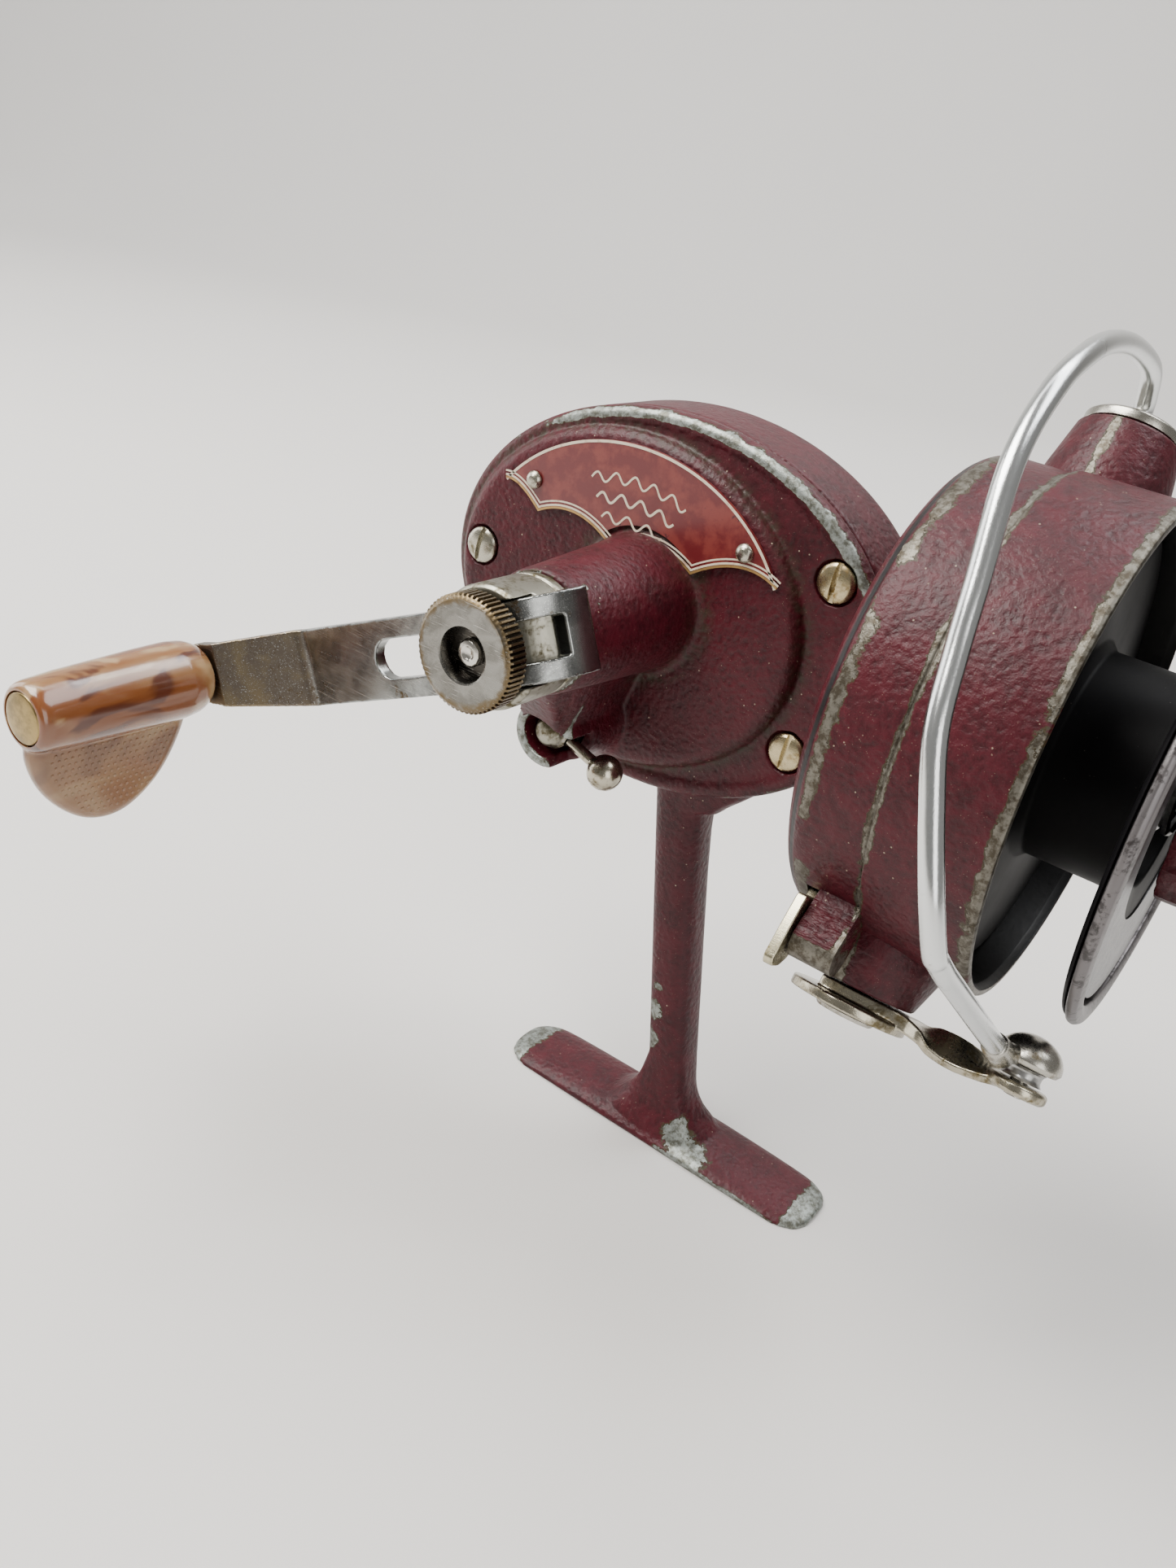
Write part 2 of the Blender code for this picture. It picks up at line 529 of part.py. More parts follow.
def drive_gear():
    """Face gear: radial teeth stand on the plate and point towards the pinion."""
    per = math.tau / TEETH_GEAR
    marks = [(-0.26, 0.0), (-0.11, TOOTH_H), (0.11, TOOTH_H), (0.26, 0.0)]
    spots = [((k + 0.5 + f) * per, h) for k in range(TEETH_GEAR) for f, h in marks]
    back = -GEAR_FACE + 1.1

    def ring(radius, base, toothed):
        return [(radius * math.cos(t), radius * math.sin(t), base - (h if toothed else 0.0))
                for t, h in spots]

    rings = [ring(3.2, back, False), ring(BAND_OUT, back, False), ring(BAND_OUT, -GEAR_FACE, True),
             ring(BAND_IN, -GEAR_FACE, True), ring(BAND_IN, -GEAR_FACE, False), ring(3.2, -GEAR_FACE, False)]
    return loft("drive_gear", rings, "brass", axes_at((CRANK_X, 0, AXIS_Z), OUTWARD, FORWARD), wrap=True)


def ratchet_wheel():
    teeth = 16
    outline = []
    for k in range(teeth):
        outline += [(16.6, math.tau * k / teeth), (14.9, math.tau * (k + 0.08) / teeth),
                    (14.9, math.tau * (k + 0.3) / teeth)]
    ring = [(r * math.cos(t), r * math.sin(t)) for r, t in outline]
    hole = [(3.2 * math.cos(t), 3.2 * math.sin(t)) for _, t in outline]
    rings = [[(x, y, z) for x, y in part] for part, z in ((hole, 6.4), (ring, 6.4), (ring, 7.2), (hole, 7.2))]
    return loft("ratchet_wheel", rings, "steel", axes_at((CRANK_X, 0, AXIS_Z), OUTWARD, FORWARD), wrap=True)


def oscillation_pin():
    """Eccentric pin on a small flange, fixed to the inner end of the crank shaft."""
    angle = math.acos(4.0 / 5.5)
    x, z = CRANK_X + 5.5 * math.cos(angle), AXIS_Z + 5.5 * math.sin(angle)
    web = turned("oscillation_pin", [(4.3, 3.9), (3.6, 3.9)], (CRANK_X, 0, AXIS_Z), OUTWARD, "steel", 20)
    arm = loft("pin_web", [rounded_web(x, z, y) for y in (-4.3, -3.5)], "steel")
    pin = turned("pin_stub", [(4.2, 1.3), (2.8, 1.3)], (x, 0, z), OUTWARD, "steel", 14)
    root = turned("pin_root", [(6.2, 0.9), (4.0, 0.9)], (CRANK_X, 0, AXIS_Z), OUTWARD, "steel", 12)
    return unite(web, arm, pin, root)


def rounded_web(x, z, y, half=1.9):
    direction = Vector((x - CRANK_X, 0, z - AXIS_Z)).normalized()
    across = Vector((-direction.z, 0, direction.x))
    near, far = Vector((CRANK_X, y, AXIS_Z)), Vector((x, y, z)) + direction * 1.9
    return [near - across * half, far - across * half * 0.6, far + across * half * 0.6, near + across * half]


def pinion():
    """Spur teeth at the back, then a plain sleeve through the front bush into the rotor."""
    per = math.tau / TEETH_PINION
    marks = [(-0.5, PINION_ROOT_R), (-0.26, PINION_ROOT_R), (-0.10, PINION_TIP_R), (0.10, PINION_TIP_R),
             (0.26, PINION_ROOT_R)]
    spots = [((k + f) * per, r) for k in range(TEETH_PINION) for f, r in marks]

    def ring(x, scale):
        return [(min(r, scale) * math.cos(t), min(r, scale) * math.sin(t), x) for t, r in spots]

    def plain(x, radius):
        return [(radius * math.cos(t), radius * math.sin(t), x) for t, _ in spots]

    rings = [plain(-10.5, 2.25), ring(-10.5, 9.0), ring(-6.0, 9.0), plain(-6.0, 3.9), plain(19.4, 3.9),
             plain(19.4, 3.5), plain(29.4, 3.5), plain(29.4, 2.25)]
    return loft("pinion", rings, "brass", axes_at(MAIN, FORWARD, OUTWARD), wrap=True)


def main_shaft_group():
    shaft = turned("main_shaft", [(-20.4, 1.7), (-20.0, MAIN_R), (78.0, MAIN_R), (78.6, 1.5)], MAIN, FORWARD,
                   "steel", 20)
    flat = block("shaft_flat", (-30.0, -5.0, AXIS_Z - 5), (-13.8, -0.6, AXIS_Z + 5))
    cross_hole = turned("cross_hole", [(-4.0, 0.95), (4.0, 0.95)], (SEAT_PIN_X, 0, AXIS_Z), UP, "steel", 12)
    cut(shaft, flat, cross_hole)
    yoke = origin_on(block("crosshead", (-20.8, -2.4, AXIS_Z - 8.5), (-12.6, 8.6, AXIS_Z + 8.5)), MAIN)
    groove = block("yoke_groove", (-18.6, -4.0, AXIS_Z - 10), (-15.4, -0.9, AXIS_Z + 10))
    bore = turned("yoke_bore", [(-20.9, 2.25), (-12.0, 2.25)], MAIN, FORWARD, "steel", 20)
    rod_way = turned("rod_way", [(-25.0, 1.35), (-10.0, 1.35)], (0, 6.4, AXIS_Z), FORWARD, "steel", 16)
    tap = turned("yoke_tap", [(-2.5, 1.3), (9.5, 1.3)], (-15.0, 0, AXIS_Z + 4.6), FAR, "steel", 12)
    cut(yoke, groove, bore, rod_way, tap)
    turned("crosshead_screw", [(0.2, 1.0), (8.8, 1.0), (8.8, 1.9), (9.3, 1.6)], (-15.0, 0, AXIS_Z + 4.6), FAR,
           "steel", 14)
    turned("spool_cross_pin", [(-4.6, 0.7), (4.6, 0.7)], (SEAT_PIN_X, 0, AXIS_Z), UP, "steel", 10)


# ---------------------------------------------------------------- rotor and bail

def rotor_cup():
    """Cup with a stepped outside, two conical pivot bosses and the trip lever's lug."""
    shoulder = [(ROTOR_BACK + 4.0 * (1 - math.sin(t)), ROTOR_R - 4.6 + 4.0 * math.cos(t))
                for t in (math.radians(90 - 22.5 * i) for i in range(5))]
    profile = [(ROTOR_BACK, 3.8)] + shoulder + [(32.1, 34.4), (32.5, ROTOR_R), (47.0, ROTOR_R),
                                                (ROTOR_RIM, 34.6),
                                                (ROTOR_RIM, 33.9), (46.4, 33.5), (24.4, 33.1), (22.0, 30.4),
                                                (22.0, 8.0), (27.0, 8.0), (27.0, 3.8)]
    rotor = turned("rotor_cup", profile, MAIN, FORWARD, "paint", 36, wrap=True)
    for sign, name, reach, tip in ((1, "top", 43.3, 7.4), (-1, "bottom", 41.0, 8.3)):
        boss = [(31.0, tip + 1.6), (36.0, tip + 1.4), (reach - 0.4, tip), (reach, tip - 0.4)]
        unite(rotor, turned("boss_" + name, boss, BAIL_CENTRE, PIVOT * sign, "paint", 20, side=FORWARD))
    unite(rotor, trip_lug())
    hollow = [(22.0, 8.0), (22.0, 30.4), (24.4, 33.1), (46.4, 33.5), (46.4, 8.0)]
    cut(rotor, turned("cup_hollow", hollow, MAIN, FORWARD, "black", 36, wrap=True))
    for sign, name, depth, radius in ((1, "top", 37.4, 2.6), (-1, "bottom", 34.6, 5.2)):
        hole = [(30.0, 1.5), (depth, 1.5), (depth, radius), (46.0, radius)]
        cut(rotor, turned("pivot_hole_" + name, hole, BAIL_CENTRE, PIVOT * sign, "paint", 20, side=FORWARD))
    return cut(rotor, trip_slot(), trip_hole())


LUG_TILT = math.radians(50)      # the lug's place round the rotor, from straight down towards -Y
LUG_OUT = Vector((0, -math.sin(LUG_TILT), -math.cos(LUG_TILT)))
LUG_SIDE = Vector((0, math.cos(LUG_TILT), -math.sin(LUG_TILT)))
TRIP_X = 26.4                    # rear face of the lug
LUG_PIVOT = 40.4                 # the trip lever's axis to the spool axis


def lug_point(x, out, side=0.0):
    return Vector((x, 0, AXIS_Z)) + LUG_OUT * out + LUG_SIDE * side


def trip_lug():
    """Square block whose outer end is rounded about the trip lever's pivot."""
    half = 2.9
    outline = [(32.0, -half), (LUG_PIVOT, -half)]
    outline += [(LUG_PIVOT + half * math.sin(t), -half * math.cos(t))
                for t in (math.pi * i / 6 for i in range(1, 6))]
    outline += [(LUG_PIVOT, half), (32.0, half)]
    rings = [[lug_point(x, out, side) for out, side in outline] for x in (TRIP_X, TRIP_X + 6.2)]
    return loft("trip_lug", rings, "paint")


def trip_slot():
    rings = [[lug_point(x, out, side) for out, side in ((28.0, -2.3), (28.0, 2.3), (40.0, 2.3), (40.0, -2.3))]
             for x in (24.3, TRIP_X - 0.02)]
    return loft("trip_slot", rings, "paint")


def trip_hole():
    ends = [(TRIP_X - 1.0, 1.1), (TRIP_X + 5.0, 1.1)]
    return turned("trip_hole", ends, lug_point(0, LUG_PIVOT), FORWARD, "paint", 12)


def trip_lever():
    """Thin lever on the lug's rear face, its tail reaching into the rotor through a slot."""
    outline = [(29.6, -1.3), (35.7, -1.5), (36.6, -4.9), (41.4, -4.1), (46.0, -3.1), (46.5, -2.0),
               (45.4, 0.4), (43.4, 1.8), (LUG_PIVOT, 2.2), (29.6, 1.3)]
    rings = [[lug_point(x, out, side) for out, side in outline] for x in (24.7, 26.1)]
    lever = origin_on(loft("trip_lever", rings, "nickel"), lug_point(25.4, LUG_PIVOT))
    pivot = lug_point(0, LUG_PIVOT)
    cut(lever, turned("trip_bore", [(24.0, 1.15), (27.0, 1.15)], pivot, FORWARD, "nickel", 14))
    profile = [(24.0, 1.2), (24.15, 1.5), (24.4, 1.5), (24.4, 0.95), (30.8, 0.95)]
    turned("trip_pin", profile, pivot, FORWARD, "nickel", 14)


def rotor_nut():
    """Hexagon nut that clamps the rotor on the pinion sleeve."""
    outer = [(5.6 * math.cos(math.tau * i / 6), 5.6 * math.sin(math.tau * i / 6)) for i in range(6)]
    hexagon = [tuple(Vector(outer[i]).lerp(Vector(outer[(i + 1) % 6]), k / 3))
               for i in range(6) for k in range(3)]
    hole = [(3.8 * math.cos(math.tau * i / 18), 3.8 * math.sin(math.tau * i / 18)) for i in range(18)]
    rings = [[(x, y, z) for x, y in part]
             for part, z in ((hole, 27.3), (hexagon, 27.3), (hexagon, 29.2), (hole, 29.2))]
    return loft("rotor_nut", rings, "brass", axes_at(MAIN, FORWARD), wrap=True)


def bail_fittings():
    """Cap and pivots; the bottom boss also hides the bail's torsion spring."""
    cap = [(38.0, 2.2), (43.6, 2.2), (43.6, 6.9), (44.9, 6.9), (45.3, 6.4), (45.3, 1.75), (44.0, 1.75),
           (44.0, 0.0)]
    turned("bail_cap", cap, BAIL_CENTRE, PIVOT, "nickel", 20, side=FORWARD)
    screw = [(32.0, 1.2), (41.4, 1.2), (41.4, 2.1), (44.9, 2.1), (44.9, 4.4), (45.5, 4.0)]
    turned("bail_pivot_screw", screw, BAIL_CENTRE, -PIVOT, "nickel", 20, side=FORWARD)
    turns, mean, wire = 3, 3.9, 0.5
    coil = [(mean * math.cos(t), mean * math.sin(t), 35.6 + 4.2 * t / (math.tau * turns))
            for t in (math.tau * turns * i / (10 * turns) for i in range(10 * turns + 1))]
    sweep("bail_spring", coil, wire, 5, "steel", bail_place(-1))


def bail_strip():
    """A raised rib on the root, a pinched neck, then a leaf twisted towards the rotor."""
    rings = []
    for x, middle, thick, half, twist in STRIP:
        turn = math.radians(twist)
        ring = []
        for across, deep in ((-half, -thick / 2), (half, -thick / 2), (half, thick / 2), (-half, thick / 2)):
            ring.append((x, across * math.cos(turn) - deep * math.sin(turn),
                         middle + across * math.sin(turn) + deep * math.cos(turn)))
        rings.append(ring)
    return loft("arm_strip", rings, "nickel", bail_place(-1))


def bail_arm():
    """Root disc on the bottom pivot, the strip forward from it and the roller's seat."""
    root = tube("bail_arm", 43.1, 44.6, 2.3, 8.5, BAIL_CENTRE, -PIVOT, "nickel", 24)
    seat_at = BAIL_CENTRE + Vector((ROLLER_AT, 0, 0))
    rim = [(42.2, 3.6), (42.6, 4.1), (43.6, 4.1), (44.0, 3.5)]
    seat = turned("roller_seat", rim, seat_at, -PIVOT, "nickel", 16)
    bore = turned("seat_bore", [(40.0, 1.35), (46.0, 1.35)], seat_at, -PIVOT, "nickel", 14)
    pivot_bore = turned("pivot_bore", [(40.0, 2.4), (46.0, 2.4)], BAIL_CENTRE, -PIVOT, "nickel", 16)
    counter = turned("root_counter", [(44.0, 4.7), (47.0, 4.7)], BAIL_CENTRE, -PIVOT, "nickel", 20)
    return cut(unite(root, bail_strip(), seat), bore, pivot_bore, counter)


def line_roller():
    """Grooved roller under a domed post head, which also carries the wire's lower end."""
    seat_at = BAIL_CENTRE + Vector((ROLLER_AT, 0, 0))
    groove = [(40.1, 1.35), (40.1, 2.9), (40.6, 2.5), (41.4, 2.5), (41.9, 2.9), (41.9, 1.35)]
    turned("line_roller", groove, seat_at, -PIVOT, "steel", 16, wrap=True)
    post = [(44.3, 1.2), (39.8, 1.2), (39.8, 3.4), (39.2, 3.75), (38.2, 3.7), (37.0, 3.15), (36.2, 2.2),
            (35.8, 0.0)]
    turned("roller_post", post, seat_at, -PIVOT, "nickel", 16)


# Strip sections: distance forward, middle and thickness along the pivot, half width, twist in degrees
STRIP = [(-4.6, 42.5, 1.8, 1.6, 0.0), (-3.6, 42.4, 2.0, 3.2, 0.0), (3.0, 42.4, 2.2, 3.6, 0.0),
         (8.2, 42.5, 2.2, 3.4, 0.0), (10.6, 42.7, 1.9, 2.3, 12.0), (12.6, 42.8, 1.5, 2.6, 38.0),
         (16.0, 42.9, 1.4, 2.7, 44.0), (19.6, 43.0, 1.4, 2.4, 30.0), (22.0, 43.1, 1.5, 2.3, 8.0),
         (ROLLER_AT, 43.1, 1.5, 2.3, 0.0)]

WIRE_ROUTE = [(0.0, 44.4, 0.0), (0.0, 47.0, 0.0), (0.0, 49.2, 2.0), (0.2, 50.3, 8.0), (0.4, 46.1, 21.3),
              (0.6, 40.6, 32.3), (0.8, 34.9, 39.6), (1.0, 27.8, 45.4), (1.6, 17.8, 48.8), (4.0, 4.4, 49.0),
              (5.2, -2.8, 48.8), (7.0, -11.4, 48.7), (9.8, -19.0, 46.8), (13.0, -26.7, 44.2),
              (15.0, -31.9, 40.2)]
WIRE_END = (21.3, -39.9, 4.6)    # beside the roller post's neck
WIRE_R = 1.4


def bail_wire():
    """Round wire in (forward, along the pivot axis, towards the loop) coordinates."""
    bend = [(15.4, -32.7, 38.2), (16.0, -33.6, 35.0)]
    route = WIRE_ROUTE + bend
    path = smooth_path(route, 2)
    last, end = path[-1], Vector(WIRE_END)
    path += [last.lerp(end, k / 4) for k in range(1, 5)]
    world = [BAIL_CENTRE + Vector((p[0], 0, 0)) + PIVOT * p[1] + LOOP * p[2] for p in path]
    return origin_on(sweep("bail_wire", world, WIRE_R, 8, "nickel"), BAIL_CENTRE)


# ---------------------------------------------------------------- spool and drag

def spool():
    """Black spool: skirted rear flange, deep arbor and a dished front flange."""
    profile = [(SPOOL_BACK, 2.5), (SPOOL_BACK, REAR_FLANGE_R - 0.5), (SPOOL_BACK + 0.5, REAR_FLANGE_R),
               (SPOOL_BACK + 1.6, REAR_FLANGE_R), (SPOOL_BACK + 2.0, REAR_FLANGE_R - 0.5),
               (SPOOL_BACK + 2.6, ARBOR_R + 1.2), (SPOOL_BACK + 3.8, ARBOR_R), (FLANGE_BACK - 1.2, ARBOR_R),
               (FLANGE_BACK, ARBOR_R + 1.2), (FLANGE_BACK + 0.4, FLANGE_R - 1.2), (58.8, FLANGE_R - 0.6),
               (58.8, 29.4), (59.7, 28.8), (59.7, 17.0), (59.1, 12.9), (52.0, 12.9), (52.0, 2.5)]
    return turned("spool", profile, MAIN, FORWARD, "black", 36, wrap=True)


def spool_rim_ring():
    """Bright lip ring on the front flange."""
    profile = [(59.1, 29.6), (59.1, FLANGE_R - 0.2), (59.7, FLANGE_R), (60.5, FLANGE_R - 0.4),
               (60.8, FLANGE_R - 1.6), (60.2, 29.6)]
    return turned("spool_rim_ring", profile, MAIN, FORWARD, "alloy", 36, wrap=True)


def drag_parts():
    tube("drag_washer_fibre", 52.3, 53.3, 2.5, 11.6, MAIN, FORWARD, "felt", 20)
    tube("drag_washer_metal", 53.6, 54.4, 2.3, 11.6, MAIN, FORWARD, "steel", 20)
    turns = 3
    coil = [(5.0 * math.cos(t), 5.0 * math.sin(t), 55.4 + 5.2 * t / (math.tau * turns))
            for t in (math.tau * turns * i / (10 * turns) for i in range(10 * turns + 1))]
    sweep("drag_spring", coil, 0.55, 5, "steel", axes_at(MAIN, FORWARD))
    flutes = 12
    ring = []
    for i in range(flutes):
        ring += [(DRAG_R, math.tau * (i - 0.27) / flutes), (DRAG_R, math.tau * (i + 0.27) / flutes),
                 (DRAG_R - 0.8, math.tau * (i + 0.5) / flutes)]
    stations = [(61.6, 0.96), (62.2, 1.0), (70.5, 0.97), (73.4, 0.86), (75.0, 0.66)]
    outer = [[(r * s * math.cos(t), r * s * math.sin(t), x) for r, t in ring] for x, s in stations]
    inner = [[(r * math.cos(t), r * math.sin(t), x) for _, t in ring]
             for x, r in ((75.0, 3.9), (64.6, 3.9), (64.6, 7.5), (61.6, 7.5))]
    loft("drag_knob", outer + inner, "paint", axes_at(MAIN, FORWARD), wrap=True)
    insert = [(64.9, 2.3), (64.9, 3.6), (75.4, 3.6), (75.4, 2.9), (77.0, 2.9), (77.0, 2.3)]
    turned("drag_nut_insert", insert, MAIN, FORWARD, "brass", 20, wrap=True)


# ---------------------------------------------------------------- anti-reverse lever

def anti_reverse():
    """Spindle through the lug, its side lever with a ball, and the pawl on its inner end."""
    point = (LEVER_X, 0, LEVER_Z)
    profile = [(4.9, 1.5), (7.7, 1.5), (7.7, 2.2), (12.6, 2.2), (12.6, 2.9), (19.9, 2.9), (20.4, 2.5),
               (21.4, 2.0), (21.9, 1.0)]
    spindle = turned("anti_reverse_spindle", profile, point, OUTWARD, "nickel", 20)
    rod = Vector((math.cos(LEVER_DROP), 0, -math.sin(LEVER_DROP)))
    start = Vector((LEVER_X, -18.6, LEVER_Z)) + rod * 1.4
    turned("rod_seat", [(0.0, 1.2), (2.6, 1.2)], start + rod * 0.4, rod, "nickel", 12)
    cut(spindle, bpy.data.objects["rod_seat"])
    length = LEVER_REACH - 2.1
    turns = (math.radians(20 + 20 * i) for i in range(9))
    ball = [(length - BALL_R * math.cos(t), BALL_R * math.sin(t)) for t in turns]
    profile = [(0.0, 0.9), (ball[0][0], 0.9)] + ball
    turned("anti_reverse_lever", profile, start + rod * 0.7, rod, "nickel", 16)
    hub = [(2.6 * math.cos(t), 2.6 * math.sin(t)) for t in (math.radians(60 + 24 * i) for i in range(11))]
    finger = [(4.3, -0.9), (4.6, 0.2)]
    heading = Vector((math.cos(math.radians(46)), 0, math.sin(math.radians(46))))
    pawl = prism("anti_reverse_pawl", hub + finger, 5.4, 7.2, point, OUTWARD, heading, "steel")
    return cut(pawl, turned("pawl_bore", [(4.0, 1.8), (9.0, 1.8)], point, OUTWARD, "steel", 14))


def build():
    for old in list(bpy.data.objects):
        bpy.data.objects.remove(old)
    body_housing()
    side_cover()
    for name, (x, z) in COVER_SCREWS.items():
        cover_screw(name, x, z)
    name_plate()
    bushes()
    crank_shaft()
    crank_arm()
    handle_stud_and_nut()
    handle_knob()
    drive_gear()
    ratchet_wheel()
    oscillation_pin()
    pinion()
    main_shaft_group()
    rotor_cup()
    trip_lever()
    rotor_nut()
    bail_fittings()
    bail_arm()
    line_roller()
    bail_wire()
    spool()
    spool_rim_ring()
    drag_parts()
    anti_reverse()


build()
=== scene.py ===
"""Looks of a fixed-spool fishing reel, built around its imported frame.

Lengths are in millimetres in the frame's own axes: +X forward along the spool axis, -Y to the crank, +Z up
from the middle of the foot's underside. Every piece keeps its origin at the frame's origin, so materials
can place wear by position.
"""

import json
import math

import bmesh
import bpy
from mathutils import Matrix, Vector


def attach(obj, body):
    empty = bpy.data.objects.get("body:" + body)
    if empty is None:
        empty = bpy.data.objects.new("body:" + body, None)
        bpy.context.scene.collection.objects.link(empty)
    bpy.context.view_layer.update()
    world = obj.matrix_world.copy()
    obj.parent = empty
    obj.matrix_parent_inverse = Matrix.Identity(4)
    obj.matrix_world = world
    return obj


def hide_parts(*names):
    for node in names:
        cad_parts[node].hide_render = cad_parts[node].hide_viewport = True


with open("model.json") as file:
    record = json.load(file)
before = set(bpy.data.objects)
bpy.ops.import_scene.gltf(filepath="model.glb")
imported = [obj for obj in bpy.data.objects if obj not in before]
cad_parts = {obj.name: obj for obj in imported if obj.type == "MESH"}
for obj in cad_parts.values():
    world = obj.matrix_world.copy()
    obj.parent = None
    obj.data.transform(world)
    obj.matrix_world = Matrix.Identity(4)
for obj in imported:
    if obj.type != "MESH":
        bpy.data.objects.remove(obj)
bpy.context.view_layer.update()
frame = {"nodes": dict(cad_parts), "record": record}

MM = 0.001

# Design sizes, the same as the frame's
AXIS_Z = 94.3
CRANK_X = -21.0
BAIL_X, ROLLER_AT = 33.0, 24.2
BAIL_TILT = math.radians(30)
BODY_X, BODY_Z, BODY_A, BODY_B = -19.7, 93.8, 38.8, 29.0
WALL, SEAM_Y = 2.0, -4.3
COVER_FACE, PLATEAU_FACE = -6.9, -9.0
PLATEAU = ((-25.0, 93.0), (31.0, 25.2))
FAR_FLAT, FAR_ROUND = 7.4, 4.4
COVER_SCREWS = {"rear": (-52.0, 93.4), "front_top": (8.5, 107.2), "front_bottom": (8.0, 80.5)}
BOSS_END, BOSS_BORE = 34.0, 6.3
HEAD_R, CURL_R = 8.5, 11.0
ARM_OUT, ARM_THICK, ARM_WIDE = 45.6, 2.0, 11.3
SLOT_FROM, SLOT_END, SLOT_HALF = 4.9, 20.0, 2.8
ARM_DROP = math.radians(25.5)
ARM_BEND_AT, ARM_BEND = 33.9, math.radians(40.7)
KNOB_AT, KNOB_LIFT, KNOB_BASE, KNOB_END = 48.3, 2.1, 54.5, 82.9
PADDLE = [(1.5, -1.0), (3.1, -8.0), (7.1, -14.6), (13.1, -18.5), (19.4, -17.8), (25.2, -12.8), (28.0, -6.5),
          (27.4, -1.0)]
PADDLE_MIDDLE = (15.0, -7.5)
LEVER_X, LEVER_Z, LEVER_MOUTH = -24.9, 73.8, 22.0
LEVER_DROP, LEVER_REACH, BALL_R = math.radians(18), 10.6, 2.8
ROTOR_BACK, ROTOR_RIM, ROTOR_R = 19.9, 47.6, 35.0
SPOOL_BACK, FLANGE_BACK = 41.0, 57.8
FLANGE_R, REAR_FLANGE_R, ARBOR_R = 32.5, 31.9, 14.6
DRAG_R = 13.2
LUG_TILT = math.radians(50)
TRIP_X, LUG_PIVOT = 26.4, 40.4
PLATE_CENTRE, PLATE_SEMI = (-24.2, 93.0), (28.6, 24.2)
PLATE_SPAN = (math.radians(27.5), math.radians(148.5))
PLATE_CUSPS = [(-41.5, 102.4), (-27.4, 101.4), (-12.7, 101.7)]
RIVETS = {"rear": (-43.0, 107.0), "front": (-4.8, 107.6)}
WAVES = [(18.8, 0.30), (15.72, 0.36), (12.74, 0.30)]     # height above the plate's centre, and breadth
WAVE_LONG, WAVE_SHORTER, WAVE_RISE, WAVE_STEPS = 17.0, 3.0, 0.75, 120

# The view in the photograph, and the lights on it: lengths in metres, the lens in millimetres
VIEW_TURN, VIEW_RISE, VIEW_ROLL = math.radians(30.98), math.radians(26.54), math.radians(11.47)
EYE, LENS = (0.0758, -0.1737, 0.1578), 30.06
AIM_POINT = (0, 0, 0.07)
LIGHTS = [("key", (-0.35, -0.30, 0.75), (0.55, 0.55), 15.0, (1.0, 0.97, 0.93)),
          ("fill", (0.75, -0.55, 0.35), (0.5, 0.7), 3.5, (1.0, 0.98, 0.96)),
          ("top", (0.25, 0.35, 0.95), (0.9, 0.5), 9.0, (0.97, 0.98, 1.0)),
          ("side", (-0.75, -0.15, 0.25), (0.4, 0.5), 2.5, (1.0, 0.98, 0.96))]
WASH_SIZE, WASH_POWER = (2.4, 0.6), 26.0
WORLD_COLOUR, WORLD_STRENGTH = (0.86, 0.84, 0.81, 1.0), 0.34

FORWARD, OUTWARD, UP = (1, 0, 0), (0, -1, 0), (0, 0, 1)
MAIN = (0, 0, AXIS_Z)
CRANK = (CRANK_X, 0, AXIS_Z)
LEVER = (LEVER_X, 0, LEVER_Z)
PIVOT = Vector((0, math.sin(BAIL_TILT), math.cos(BAIL_TILT)))
LOOP = Vector((0, -math.cos(BAIL_TILT), math.sin(BAIL_TILT)))
BAIL_CENTRE = Vector((BAIL_X, 0, AXIS_Z))
ARM = Vector((-math.cos(ARM_DROP), 0, -math.sin(ARM_DROP)))
ARM_ACROSS = Vector((math.sin(ARM_DROP), 0, -math.cos(ARM_DROP)))
KNOB = Vector(CRANK) + ARM * KNOB_AT - ARM_ACROSS * KNOB_LIFT
LUG_OUT = Vector((0, -math.sin(LUG_TILT), -math.cos(LUG_TILT)))
LUG_SIDE = Vector((0, math.cos(LUG_TILT), -math.sin(LUG_TILT)))


# ---------------------------------------------------------------- node arithmetic

class Value:
    """A number or vector socket that takes arithmetic."""

    def __init__(self, tree, socket):
        self.tree, self.socket = tree, socket

    def math(self, kind, *others, clamp=False):
        node = self.tree.nodes.new("ShaderNodeMath")
        node.operation = kind
        node.use_clamp = clamp
        for slot, item in zip(node.inputs, (self, *others)):
            if isinstance(item, Value):
                self.tree.links.new(item.socket, slot)
            else:
                slot.default_value = item
        return Value(self.tree, node.outputs[0])

    def __add__(self, other):
        return self.math("ADD", other)

    def __sub__(self, other):
        return self.math("SUBTRACT", other)

    def __mul__(self, other):
        return self.math("MULTIPLY", other)

    def __truediv__(self, other):
        return self.math("DIVIDE", other)

    def __rsub__(self, other):
        return self.math("MULTIPLY", -1.0).math("ADD", other)

    def __abs__(self):
        return self.math("ABSOLUTE")

    def high(self, other):
        return self.math("MAXIMUM", other)

    def low(self, other):
        return self.math("MINIMUM", other)

    def ramp(self, start, end):
        """A smooth step from 0 at start to 1 at end."""
        node = self.tree.nodes.new("ShaderNodeMapRange")
        node.interpolation_type = "SMOOTHSTEP"
        self.tree.links.new(self.socket, node.inputs["Value"])
        node.inputs["From Min"].default_value = start
        node.inputs["From Max"].default_value = end
        return Value(self.tree, node.outputs["Result"])


